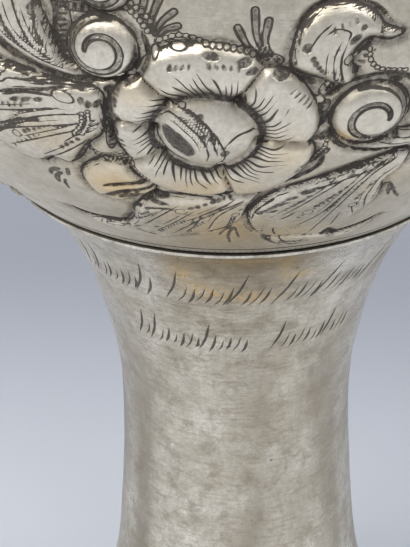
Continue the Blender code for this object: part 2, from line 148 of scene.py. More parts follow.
# Raised leaves and scrolls as height, width of the rounded edge and outline, from back to front
FORMS = (
    (0.9, 1.2, ((-32, 13.7), (-27, 12.1), (-22, 12.5), (-19, 11.6), (-13, 9.9), (-8.5, 9.9), (-11, 8.8),
                (-15, 7.7), (-19, 7.3), (-24, 8.5), (-28, 10.8))),
    (0.9, 1.2, ((17, 8.4), (19, 7.1), (22, 7.9), (24.5, 9.5), (26.3, 11.4), (25.3, 8.8), (23.3, 6.3),
                (20.5, 5.2), (17.8, 6))),
    (1.0, 1.4, ((4.5, 10.2), (5, 7.5), (7, 5.2), (10, 3.9), (14, 4.6), (17, 6.6), (17.2, 8.3), (13, 9.1),
                (8, 9.9))),
    (1.5, 2.2, ((2.2, 26.2), (-3, 25.2), (-8, 24.8), (-13, 24.2), (-15.2, 21.8), (-17, 19.6), (-17.8, 17),
                (-19.9, 14), (-20.4, 12), (-16.5, 10.6), (-12.5, 9.9), (-8.8, 10.8), (-4.8, 12.7),
                (-1.8, 15), (0.4, 18), (0.9, 21.5))),
    (1.6, 2.2, ((21.5, 33), (15.5, 31.2), (9, 28), (4.5, 25.6), (2, 22), (0.9, 19), (1.3, 15), (2.7, 11.6),
                (5.2, 10.3), (10, 9.9), (15, 9.4), (16.2, 11.6), (18.6, 14.6), (19.6, 17), (20.6, 19),
                (21.3, 22), (20.4, 26), (22.2, 29.8))),
    (1.5, 2.6, ((-12.6, 28.5), (-13.8, 31.4), (-17, 32.8), (-20.2, 31.4), (-22.5, 28.4), (-22.7, 25),
                (-21.4, 22), (-18.5, 21.6), (-15.5, 22.4), (-13.2, 24.6), (-12.1, 26.5))),
    (1.5, 2.2, ((-16.8, 45), (-22, 45.6), (-28, 47), (-33, 47.4), (-36, 44), (-36.5, 39), (-35, 34),
                (-31, 30.2), (-27.5, 29.6), (-25.3, 31), (-23, 30.4), (-21, 32.6), (-19.3, 35.6),
                (-17.2, 38), (-16.6, 41.5))),
    (1.6, 2, ((-14, 47.2), (-17, 46.6), (-20, 46.6), (-23, 47.3), (-26, 48.6), (-29.3, 51), (-32, 54.5),
              (-32.6, 59), (-30, 61.5), (-26.8, 60), (-24, 57), (-22.4, 54), (-21.2, 51), (-20, 48.6))),
    (1.6, 1.8, ((10.4, 41.5), (10.7, 38.3), (12.5, 35.6), (16, 34.4), (21, 34), (27, 35), (32, 38.4),
                (34.6, 43.3), (34.4, 48.3), (31.5, 51.7), (28, 52), (26, 50), (28.6, 49.2), (30.6, 46.6),
                (30, 42.3), (26.6, 38.9), (21.5, 37.6), (17, 37.4), (13, 38.6))),
    (1.7, 2.4, ((5.3, 48.8), (5.6, 52.4), (7, 55.2), (9.5, 56.6), (12.3, 56.4), (14.6, 55), (15.8, 53.3),
                (18, 52.2), (16.3, 51.5), (14.2, 52), (12.7, 51), (12, 49.4), (12.6, 47.5), (12.1, 46),
                (10.5, 46), (8.5, 47.2))),
    (1.0, 1.4, ((-18, 60), (-22, 61), (-26, 63), (-21, 62.9), (-16, 62.4), (-13, 61))),
)

# Rolled ends of the scrolls as centre, radius, height, the angle where the roll starts and its turns
VOLUTES = (
    (-15.8, 50.8, 4.1, 2.0, 180, -1.3),
    (-15.4, 58.6, 3.2, 1.7, 180, -1.2),
    (15.1, 41.0, 4.8, 2.1, -10, 1.35),
    (29.2, 48.6, 2.8, 1.7, 0, 1.2),
)

# Wide dark grooves beside the forms as half width, depth and course
GROOVES = (
    (0.55, 0.55, ((9.5, 44.5), (12, 45.9), (14, 46.6), (16.5, 46.8), (19, 46), (21, 44.6), (23, 43))),
    (0.5, 0.5, ((-12, 51.5), (-12.2, 49.5), (-14, 47.2), (-17, 46.1), (-20, 46), (-23, 46.6), (-26, 47.8),
                (-29, 50), (-31.5, 53), (-33.4, 57))),
    (0.55, 0.5, ((-20.6, 49.6), (-21.4, 52), (-21.2, 55), (-21.8, 58))),
    (0.5, 0.5, ((-11.3, 53.5), (-10.6, 50.5), (-11.6, 47.8), (-13.6, 46.2))),
    (0.6, 0.5, ((-15.7, 45.2), (-15.6, 42.2), (-16.2, 39.6), (-15.5, 36.4), (-14.2, 34))),
    (0.5, 0.45, ((10.6, 36.8), (13, 35), (16, 33.9), (21, 33.4), (25, 33.9))),
    (0.55, 0.5, ((0.5, 26.2), (3.5, 27.2), (7, 29), (9.6, 31.4), (10.2, 34.2))),
    (0.4, 0.4, ((-19, 36.5), (-21, 33.5), (-22.5, 31), (-24, 30), (-25.5, 31.2), (-27, 29.8), (-29, 28.9))),
    (0.4, 0.35, ((-32, 13.5), (-28, 11), (-24, 8.7), (-19, 7.5), (-15, 7.9), (-11, 9), (-8.5, 9.9))),
    (0.4, 0.35, ((6, 10.3), (10, 9.4), (14, 8.8), (17, 8))),
    (0.4, 0.35, ((15.5, 12), (16.5, 9), (17.5, 7.5), (19, 7), (22, 8), (24, 9.5), (25.5, 11))),
    (0.65, 0.6, ((-11.5, 28.2), (-15, 28), (-19.4, 26.6))),
    (0.75, 0.7, ((-11.5, 26.9), (-16, 25.8), (-19.4, 23.8), (-21.4, 21.8))),
    (0.7, 0.65, ((-12.2, 25.2), (-15.5, 23.8), (-18, 21.8))),
    (0.5, 0.45, ((-13, 24.2), (-15, 21.8))),
    (0.35, 0.35, ((5.6, 52.8), (7, 55.6), (9.5, 57), (12.3, 56.9), (15, 55.4), (16.6, 53.6))),
    (0.4, 0.4, ((-20.8, 44.9), (-24, 44.2), (-27, 43.6), (-30, 42.6))),
)

# Fine cut lines as half width, depth and courses
LINES = (
    (0.15, 0.12, (
        ((-10, 42), (-8.6, 42.6), (-7, 42), (-5, 39.8), (-4.2, 37), (-4.5, 35.2)),
        ((-9, 44), (-6, 43), (-4, 41), (-3.4, 38), (-3.2, 36.5)),
        ((-10.4, 40.4), (-10, 38), (-8.6, 36), (-6.6, 34.9)),
        ((-9.8, 37.2), (-8.2, 35), (-6, 34)),
        ((-7.1, 43.9), (-5, 42.6), (-3.2, 40), (-2.2, 36.8), (-2.8, 34.3)),
        ((-20.8, 48.4), (-23.5, 50), (-25, 52.5), (-25.8, 55), (-26.4, 58)),
        ((-20.4, 47.8), (-24, 49.2), (-26.8, 51.8), (-28, 55), (-28.6, 58.4)),
        ((-21.4, 47.4), (-25.4, 48.9), (-28.6, 51.4), (-30.2, 54.8), (-31, 58.6)),
        ((-22.3, 50.2), (-23.4, 52.8), (-23.7, 56)),
        ((-17.5, 45.2), (-22, 45), (-28, 46.5), (-32, 46.9)),
        ((-18, 44.8), (-27, 45.3), (-29, 44.5), (-34, 44.6)),
        ((-22, 42), (-29, 40), (-34.5, 38.8)),
        ((-18, 41.6), (-23, 40.6), (-28, 38.6), (-33.6, 35.8)),
        ((-17.5, 40.4), (-24, 38.5), (-30, 36.5), (-33, 34.4)),
        ((-17, 40), (-22, 37.7), (-27, 35.2), (-31, 33)),
        ((-18, 37.5), (-24, 33), (-29, 29.5)),
        ((-17.6, 39), (-20.4, 37.6), (-22.4, 36)),
        ((-25, 39.6), (-29.5, 37.2), (-33.6, 34.9)),
        ((-20.5, 12.3), (-19.5, 14), (-18, 16), (-17.5, 18), (-16.5, 20), (-14.5, 21.5)),
        ((-15, 20.5), (-12.6, 21.3), (-10.5, 21.5)),
        ((-1, 24.8), (-6, 20), (-9, 17.5)),
        ((0.5, 25), (-5, 20), (-12, 12)),
        ((0, 24), (-3.5, 20), (-6, 13.5)),
        ((-1.5, 20), (-2.7, 14.5)),
        ((-0.9, 20), (-2, 14.6)),
        ((-20.5, 12), (-17, 10.6), (-13, 9.7)),
        ((-27, 11.8), (-22, 12.3), (-20.5, 13)),
        ((15, 30), (12, 27), (8, 22), (6.2, 20)),
        ((20, 32.5), (17, 30), (14.5, 25), (12, 19), (7.5, 13.7)),
        ((20.5, 32.3), (17.5, 29.5), (15, 23), (13, 16), (11.5, 10)),
        ((20.9, 31), (18.9, 28.4), (18.5, 26), (18.3, 23), (19.3, 19), (20, 17)),
        ((15.5, 19), (15.2, 14)),
        ((17.5, 30.6), (12.6, 28.2), (7.5, 26)),
        ((18, 31.6), (12, 29.6), (6, 26.8)),
        ((4.5, 26), (2, 22.5), (1, 20), (0.8, 18.5), (1.2, 17.3)),
        ((5.1, 25.4), (2.8, 22.1), (1.8, 19.8), (1.6, 18)),
        ((16.8, 21), (17, 20), (18, 17.5)),
        ((1.2, 17), (1.3, 14.5), (2.6, 11.5), (3.5, 10)),
        ((4.6, 10), (5, 8), (7, 5.5), (9, 4)),
        ((5.3, 10), (5.7, 8.2), (7.5, 6), (9.3, 4.6)),
        ((6.5, 10), (8.5, 7.5), (11, 6.9), (13, 8)),
        ((7, 9.5), (9, 6.2), (11.5, 5.6), (13.3, 7.2)),
        ((20.3, 18), (19.5, 16.3), (18.7, 14.5), (17, 12.5), (15.5, 12)),
        ((14, 37.9), (17, 36.9), (20.5, 36.3), (24, 36.6), (28, 38.6), (31, 42)),
        ((10.5, 52), (9.8, 50), (10, 47.5), (11, 46)),
        ((11.2, 51.8), (10.6, 49.5), (11, 47), (12, 45.8)),
        ((8.8, 53), (10, 53.7), (11.5, 53.2), (11.3, 52.2)),
        ((9.5, 54.4), (8, 53), (6.9, 51)),
        ((13.6, 55), (15, 53.4), (15.4, 52.2)),
        ((5.9, 51.6), (6.5, 54), (8.2, 55.7)),
        ((26, 35.4), (30.5, 38.4), (33, 43), (33, 47.4)),
        ((-6, 20.2), (-7.6, 16), (-9.6, 13)),
        ((-7.4, 21), (-11, 16.6), (-15, 12.4)),
        ((-9.4, 22.8), (-13, 18.6), (-16.6, 14.6)),
    )),
    (0.2, 0.22, (
        ((-2.1, 38.3), (-1, 39.6), (0, 40), (1.4, 39.9)),
        ((6, 12), (5.4, 13.6), (5.2, 15)),
        ((8, 20.5), (7, 19.1), (6, 18.3)),
        ((-22, 43.8), (-26, 43.5), (-29, 42.5)),
        ((12.6, 49.8), (13.4, 50.8), (14.2, 51.4)),
        ((12.2, 48.6), (12.8, 48)),
        ((12.1, 47.8), (12.8, 47.3)),
    )),
)

# Standing stalks of the sprays, from their base to their tip
STALKS = (
    ((-10.5, 53.3), (-11.1, 55), (-10.8, 57.6)),
    ((-10.2, 53.2), (-10, 55.2), (-9.1, 57.6)),
    ((-9.8, 53), (-9, 54.6), (-7.6, 55.9)),
    ((-9.5, 52.8), (-8.6, 53.7), (-7.2, 54.2)),
    ((2, 50.2), (0.4, 51.8), (-0.7, 54.1)),
    ((2.5, 50.4), (1.4, 52.8), (1.2, 56.2)),
    ((3, 50.6), (2.3, 52.4), (2.7, 54.9)),
)

# Dark teeth of the small tufts, as half width and course
TEETH = (
    (0.3, ((-24.5, 28.5), (-25.2, 26.5))),
    (0.4, ((-26, 28), (-27.6, 27), (-28.5, 25.5))),
    (0.4, ((-26, 27), (-27.4, 25.5), (-28, 23.5))),
    (0.3, ((-26.2, 25), (-26.8, 23.8), (-27, 22))),
    (0.3, ((-1.6, 14), (-4, 12.4), (-6, 11))),
    (0.32, ((-1.6, 13.8), (-3.2, 11.8), (-4, 9.8))),
    (0.34, ((-1.4, 13.6), (-2.4, 9.6), (-2.2, 5.8))),
    (0.28, ((-1.2, 13.7), (-0.8, 11), (-0.4, 8.5))),
    (0.3, ((22, 24.4), (22.6, 22), (23.5, 20))),
    (0.3, ((22.2, 24), (24, 21), (26, 18.4))),
    (0.3, ((21.8, 24.6), (20.8, 22.4), (21, 20.2))),
    (0.45, ((-10.8, 22.9), (-14.2, 23.2), (-17.4, 21.6))),
    (0.4, ((-11.6, 24.6), (-15, 25), (-18, 23.8))),
    (0.34, ((-10.6, 21.6), (-13, 21.4), (-15, 20.4))),
)

# Rows of dots as first and last dot, their number, and first and last radius
DOTS = (
    ((-23.9, 55.2), (-23.2, 51.4), 6, 0.36, 0.14),
    ((-27.7, 53), (-25.4, 50), 7, 0.38, 0.14),
    ((-23.7, 38.7), (-27.8, 36.6), 6, 0.16, 0.34),
    ((-20.5, 36.8), (-23, 34.8), 4, 0.36, 0.28),
    ((-7.6, 22.2), (-4.2, 24), 4, 0.4, 0.34),
    ((-3.4, 24.3), (-1, 25.4), 4, 0.3, 0.2),
    ((1.4, 24.2), (-0.2, 21.7), 3, 0.36, 0.3),
    ((10.9, 22.1), (15, 27.8), 7, 0.38, 0.24),
    ((16.8, 23), (19, 29.3), 8, 0.32, 0.16),
    ((7.4, 12.4), (9.6, 15), 5, 0.16, 0.2),
    ((14.4, 37.5), (23.4, 36.2), 5, 0.5, 0.42),
    ((3.4, 16.2), (3.4, 14), 3, 0.24, 0.24),
    ((7.5, 50.2), (8.8, 47.9), 5, 0.34, 0.2),
    ((28, 45.6), (31.6, 43.4), 5, 0.2, 0.36),
    ((6.9, 51.6), (6.9, 51.6), 1, 0.52, 0.52),
    ((13.1, 53.6), (13.1, 53.6), 1, 0.4, 0.4),
    ((-5, 42.6), (-2.2, 36.8), 3, 0.46, 0.56),
)

# Rows of short strokes as first and last stroke, their number, length and turn in degrees
TICKS = (
    ((-8.1, 49.4), (-6, 49.6), 4, 0.8, 75),
    ((-3.8, 49.8), (-0.6, 49.3), 5, 0.8, 100),
    ((5.5, 46.1), (7.5, 43.8), 5, 0.9, 35),
    ((-15.1, 43.4), (-14.4, 46.2), 5, 0.8, 10),
    ((-14.9, 37.8), (-14.3, 35.2), 4, 0.8, 5),
    ((-9.4, 26.8), (-5.6, 26.7), 6, 0.7, 80),
    ((-35.6, 45.3), (-29.6, 45.6), 8, 0.7, 75),
    ((-33, 40.2), (-26.8, 41.5), 8, 0.7, 70),
    ((-30.4, 33.2), (-25.8, 36.6), 7, 0.7, 110),
    ((-20.9, 50.8), (-20.4, 56), 8, 1.4, 5),
    ((-19.6, 55.4), (-15.4, 56), 6, 1.0, 85),
    ((-16.4, 35.6), (-15.9, 39.4), 6, 1.0, 10),
    ((12.6, 19.6), (16.4, 27.4), 12, 0.6, 150),
    ((8.9, 18.6), (12.8, 24.2), 9, 0.7, 140),
    ((19.6, 22), (20.2, 28), 9, 0.6, 165),
    ((2.6, 20.4), (6.6, 25), 8, 1.1, 20),
    ((4.6, 19.4), (9.4, 25.4), 10, 0.8, 15),
    ((-14.2, 12.6), (-9.2, 17.6), 9, 0.7, 100),
    ((-9.6, 12.4), (-6.2, 17.4), 8, 0.7, 110),
    ((-17.6, 16), (-13.2, 20), 7, 0.9, 60),
    ((7.6, 7.4), (13.4, 6.4), 8, 0.8, 60),
    ((26.8, 36.6), (32.6, 42.6), 10, 0.8, 150),
    ((9.8, 53.6), (12.2, 54.6), 4, 0.8, 100),
    ((12.6, 48.2), (14.2, 50.4), 4, 0.9, 160),
)

# Small ovals cut at edges as centre, half length, half width, turn in degrees, and 1 dark or 0 bright
OVALS = (
    (-7.2, 51.8, 1.0, 0.45, 0, 0), (-3.6, 50.9, 1.0, 0.55, -10, 1), (-9.8, 51, 0.9, 0.42, 85, 0),
    (0, 50, 0.8, 0.55, 0, 1), (1, 48.9, 0.8, 0.5, 10, 1), (4.2, 48.3, 1.1, 0.6, -8, 1),
    (7.3, 46.9, 1.0, 0.55, -25, 1), (8.7, 44, 0.7, 0.5, -70, 0), (9.4, 40.6, 1.2, 0.55, 70, 1),
    (-15.6, 45, 0.8, 0.5, 60, 1), (-14.9, 41.2, 1.1, 0.6, 80, 1), (-15.6, 39, 1.0, 0.6, 100, 1),
    (-21, 43.8, 1.4, 0.75, -14, 0), (-18.8, 43.5, 0.55, 0.35, 80, 1), (-18, 43.2, 0.55, 0.35, 80, 1),
    (-17, 43.2, 0.65, 0.42, 75, 1), (-15.8, 18.5, 0.7, 0.22, 40, 1), (-14.8, 19.5, 0.7, 0.22, 40, 1),
    (-18, 13.5, 0.8, 0.25, 30, 1), (-14.5, 14.2, 0.6, 0.2, 30, 1), (-11.8, 24.4, 1.9, 0.5, 0, 1),
    (4.5, 21.2, 1.0, 0.35, 35, 1), (6, 23.5, 1.0, 0.3, 35, 1), (7, 25, 1.0, 0.3, 30, 1),
    (9, 26.4, 1.0, 0.3, 25, 1), (8.6, 37.4, 0.9, 0.4, 50, 1), (9.6, 37.9, 0.9, 0.4, 70, 1),
    (10.5, 38.2, 0.8, 0.35, 95, 1), (-26, 42.4, 0.9, 0.35, 30, 1), (-24.4, 42.7, 0.8, 0.3, 30, 1),
    (-27.6, 42.1, 0.9, 0.35, 30, 1), (12.2, 52.2, 0.8, 0.5, 40, 1), (-9.2, 21, 0.9, 0.7, 0, 0),
    (-26, 11.4, 0.5, 0.14, 60, 1), (-25, 11.3, 0.5, 0.14, 60, 1), (-23.8, 11, 0.5, 0.14, 60, 1),
    (17.4, 45.9, 0.9, 0.4, -20, 1), (10.2, 45, 1.0, 0.5, 30, 1),
)

# Matted hollows as centre, half length, half width and turn in degrees
MATTED = (
    (-7.7, 38.6, 2.7, 1.25, -52),
    (-20.2, 53.2, 3.6, 0.9, 88),
    (-17.4, 55.7, 2.6, 0.7, 0),
    (2.8, 50, 1.6, 0.9, -10),
    (9.6, 45.6, 1.2, 0.9, 30),
    (9.3, 42.6, 1.4, 0.6, 75),
    (8.6, 33.6, 2.6, 0.8, 40),
    (-16.2, 37.4, 2.4, 0.7, 80),
    (24.4, 44.8, 2.2, 1.2, -30),
)

# Rings of the hollow punch as courses, their spacing and radius
RING_RUNS = (
    (((-9.3, 52.4), (-7.3, 53.1), (-5.5, 52.8), (-4, 52.1), (-2, 51.8), (0, 51.3), (1, 50.7)), 0.78, 0.36),
    (((-13, 56), (-11.8, 55.2), (-10.6, 53.4)), 0.7, 0.34),
    (((-12.4, 56.6), (-11.3, 55.8), (-10.2, 54.6)), 0.7, 0.34),
    (((14, 50.5), (14.3, 48.8), (15.6, 47.6), (18.5, 47)), 0.74, 0.33),
    (((-19.5, 34.2), (-18, 33.4), (-16.2, 33.8), (-14.8, 33.2), (-13.6, 31.6), (-12.5, 30)), 0.62, 0.3),
    (((-19, 33.2), (-17.6, 32.5), (-16, 32.8), (-14.8, 32), (-13.8, 30.6)), 0.62, 0.28),
    (((22.6, 47.6), (24, 48.8), (24.6, 50.6)), 0.74, 0.33),
    (((-18.2, 42), (-18.5, 40), (-19.6, 38)), 0.66, 0.3),
    (((-19, 41.6), (-19.4, 39.8), (-20.6, 38)), 0.66, 0.3),
    (((8.8, 33), (9.8, 35), (10.2, 37)), 0.7, 0.32),
)

# Single rings as centre and radius
RINGS = (
    (-7.1, 43.9, 0.5), (-2.8, 34.3, 0.55), (-29.1, 35.8, 0.6), (-9.2, 21, 0.85), (-1, 20.3, 0.6),
    (10, 20.3, 0.8), (16.8, 21, 0.65), (11.6, 49.5, 0.6), (-22.5, 49.9, 0.35),
)

# Golden patches, partly toning in the tarnish and partly painted reflection, as centre, half sizes and
# strength
GOLDEN_TONE_AND_REFLECTION = (
    (-17.5, 27, 4.6, 4.4, 1.0), (-3, 12.5, 8, 6, 0.8), (8, 12, 7, 4, 0.55), (-6, 20, 7, 4, 0.5),
    (11.8, 37.6, 1.7, 1.6, 1.0), (-5, 28.6, 7, 2.4, 0.55), (-25, 37, 5, 3, 0.4), (5.6, 36, 3.4, 3.4, 0.4),
    (20, 26, 5, 4, 0.25), (-12, 45.2, 3, 1.6, 0.35),
)

# Grime in the low relief as centre, half sizes and strength
GRIME = (
    (14, 21, 7, 8, 0.34), (-12, 15, 7, 5, 0.3), (-27, 38, 7, 6, 0.24), (-18, 55, 4, 4, 0.4),
    (2, 13, 4, 4, 0.3),
)

# The two engraved rows on the foot, as first and last azimuth in degrees of each group of strokes, and
# the heights from the seam of their feet, low heads and tall heads in millimetres
UPPER_ROW = ((-60, -29), (-23, 10), (13, 60))
LOWER_ROW = ((-43, 4), (14, 49))
UPPER_HEIGHTS = (-14.3, -10.7, -7.2)
LOWER_HEIGHTS = (-24.3, -21.7, -19.0)
STROKE_DEPTH = 0.00007

# Dark streaks down the foot, partly tarnish and partly painted dark reflection bands, as azimuths, and pits
# as azimuth, height and size
STREAKS_AND_REFLECTIONS = (-172, -141, -118, -84, -58, -50, 8, 44, 55, 88, 118, 150)
PITS = (
    (16, -47, 0.5), (32, -45.5, 0.4), (13, -38.5, 0.35), (6, -57.5, 0.45), (-36, -29, 0.4), (-20, -52, 0.3),
)

# Painted gold glints under the seam, a reflection of the bowl, as azimuth, height, and half sizes in degrees
# and millimetres
PAINTED_GLINTS = (
    (-17, -6.5, 4, 3), (-10, -11, 7, 1.6), (3, -12.5, 10, 1.3), (13, -5, 2, 2.6), (18, -8, 4, 1.2),
    (2, -3, 9, 0.9),
)

# The studio: the floor's colours, where painted shade darkens the floor behind the cup, the room, and lights
# as name, place, aim, size, power and colour
PAPER_FRONT = (0.55, 0.573, 0.616, 1)
PAPER_IN_PAINTED_SHADE = (0.26, 0.272, 0.308, 1)
BACKDROP_SLANT = 0.06
BACKDROP_DARKENS = (0.024, 0.168)
ROOM_LOW = (0.30, 0.31, 0.34, 1)
ROOM_HIGH = (0.80, 0.83, 0.90, 1)
ROOM_STRENGTH = 0.75
LIGHTS = (
    ("window", (-0.55, -0.45, 0.75), (0, 0, 0.1), 0.45, 5.5, (1.0, 0.98, 0.95)),
    ("lamp", (0.6, -0.2, 0.6), (0, 0, 0.12), 0.3, 1.6, (0.95, 0.97, 1.0)),
    ("ceiling", (0.05, -0.1, 0.95), (0, 0, 0), 0.7, 6.0, (1.0, 1.0, 1.0)),
)


def flowing(knots, steps, closed=False):
    """Points along a smooth curve through the knots."""
    knots = np.array(knots, float)
    if closed:
        padded = np.vstack([knots[-1], knots, knots[0], knots[1]])
    else:
        padded = np.vstack([2 * knots[0] - knots[1], knots, 2 * knots[-1] - knots[-2]])
    share = (np.arange(steps) / steps)[:, None]
    pieces = []
    for before, first, second, after in zip(padded, padded[1:], padded[2:], padded[3:]):
        bend = 2 * before - 5 * first + 4 * second - after
        turn = 3 * first - before - 3 * second + after
        pieces.append(first + 0.5 * share * (second - before + share * (bend + share * turn)))
    if not closed:
        pieces.append(knots[-1:])
    return np.vstack(pieces)


def bezier(start, leave, arrive, end, rows):
    """Points along one Bezier arc, both ends included."""
    share = np.linspace(0, 1, rows + 1)[:, None]
    rest = 1 - share
    corners = [np.array(corner, float) for corner in (start, leave, arrive, end)]
    weights = (rest ** 3, 3 * rest ** 2 * share, 3 * rest * share ** 2, share ** 3)
    return sum(weight * corner for weight, corner in zip(weights, corners))


def outward(profile):
    """Unit normals of a profile that runs upward on the outside of a wall."""
    along = np.gradient(profile, axis=0)
    along /= np.linalg.norm(along, axis=1)[:, None]
    return np.column_stack([along[:, 1], -along[:, 0]])


def lengths(profile):
    """Distance along a profile from its first point."""
    return np.concatenate([[0], np.cumsum(np.linalg.norm(np.diff(profile, axis=0), axis=1))])


def respaced(profile, spacing, start=0.0, end=None):
    """The stretch of a profile between two distances along it, with points a spacing apart."""
    along = lengths(profile)
    end = along[-1] if end is None else end
    wanted = np.linspace(start, end, max(2, round((end - start) / spacing) + 1))
    return np.column_stack([np.interp(wanted, along, profile[:, 0]), np.interp(wanted, along, profile[:, 1])])


def bowl_side():
    """The outer wall of the bowl as radius and height over the seam."""
    swell = math.hypot(BELLY_RADIUS - SEAM_RADIUS, BELLY_RISE)
    opening = (SEAM_RADIUS + SWELL_PULL * swell * math.sin(SWELL_ANGLE),
               SWELL_PULL * swell * math.cos(SWELL_ANGLE))
    lower = bezier((SEAM_RADIUS, 0), opening, (BELLY_RADIUS, BELLY_RISE * (1 - BELLY_PULL)),
                   (BELLY_RADIUS, BELLY_RISE), 600)
    waist = (NECK_RISE - BELLY_RISE) / 3
    upper = bezier((BELLY_RADIUS, BELLY_RISE), (BELLY_RADIUS, BELLY_RISE + waist),
                   (NECK_RADIUS, NECK_RISE - waist), (NECK_RADIUS, NECK_RISE), 400)
    bead_foot = BOWL_RISE - 2 * RIM_BEAD
    flare = (bead_foot - NECK_RISE) / 3
    mouth = bezier((NECK_RADIUS, NECK_RISE), (NECK_RADIUS, NECK_RISE + flare),
                   (RIM_RADIUS - flare / 3, bead_foot - flare), (RIM_RADIUS, bead_foot), 200)
    return np.vstack([lower, upper[1:], mouth[1:]])


def foot_side():
    """The outer wall of the foot as radius and drop, from the seam down to the end of its spread."""
    flare = SEAM_RADIUS - WAIST_RADIUS
    opening = SPREAD_RADIUS - WAIST_RADIUS
    spread_drop = FOOT_HEIGHT - SPREAD_RISE
    below = spread_drop - WAIST_DROP
    knots = [(SEAM_RADIUS, -SEAM_GAP)]
    knots += [(WAIST_RADIUS + flare * out, -WAIST_DROP * down) for out, down in FLARE_CURVE]
    knots.append((WAIST_RADIUS, -WAIST_DROP))
    knots += [(WAIST_RADIUS + opening * out, -WAIST_DROP - below * down) for out, down in SPREAD_CURVE]
    knots.append((SPREAD_RADIUS, -spread_drop))
    return flowing(knots, 60)


def distance(u, v, path):
    """Distance of each place to a path, the share of the path nearest to it, and its side, 1 or -1."""
    nearest = np.full(u.shape, np.inf)
    share = np.zeros(u.shape)
    side = np.ones(u.shape)
    for number, (start, end) in enumerate(zip(path, path[1:])):
        run = end - start
        along = ((u - start[0]) * run[0] + (v - start[1]) * run[1]) / max(run @ run, 1e-12)
        along = np.clip(along, 0, 1)
        away = np.hypot(u - start[0] - along * run[0], v - start[1] - along * run[1])
        closer = away < nearest
        nearest = np.where(closer, away, nearest)
        share = np.where(closer, (number + along) / (len(path) - 1), share)
        left = (v - start[1]) * run[0] > (u - start[0]) * run[1]
        side = np.where(closer, np.where(left, 1, -1), side)
    return nearest, share, side


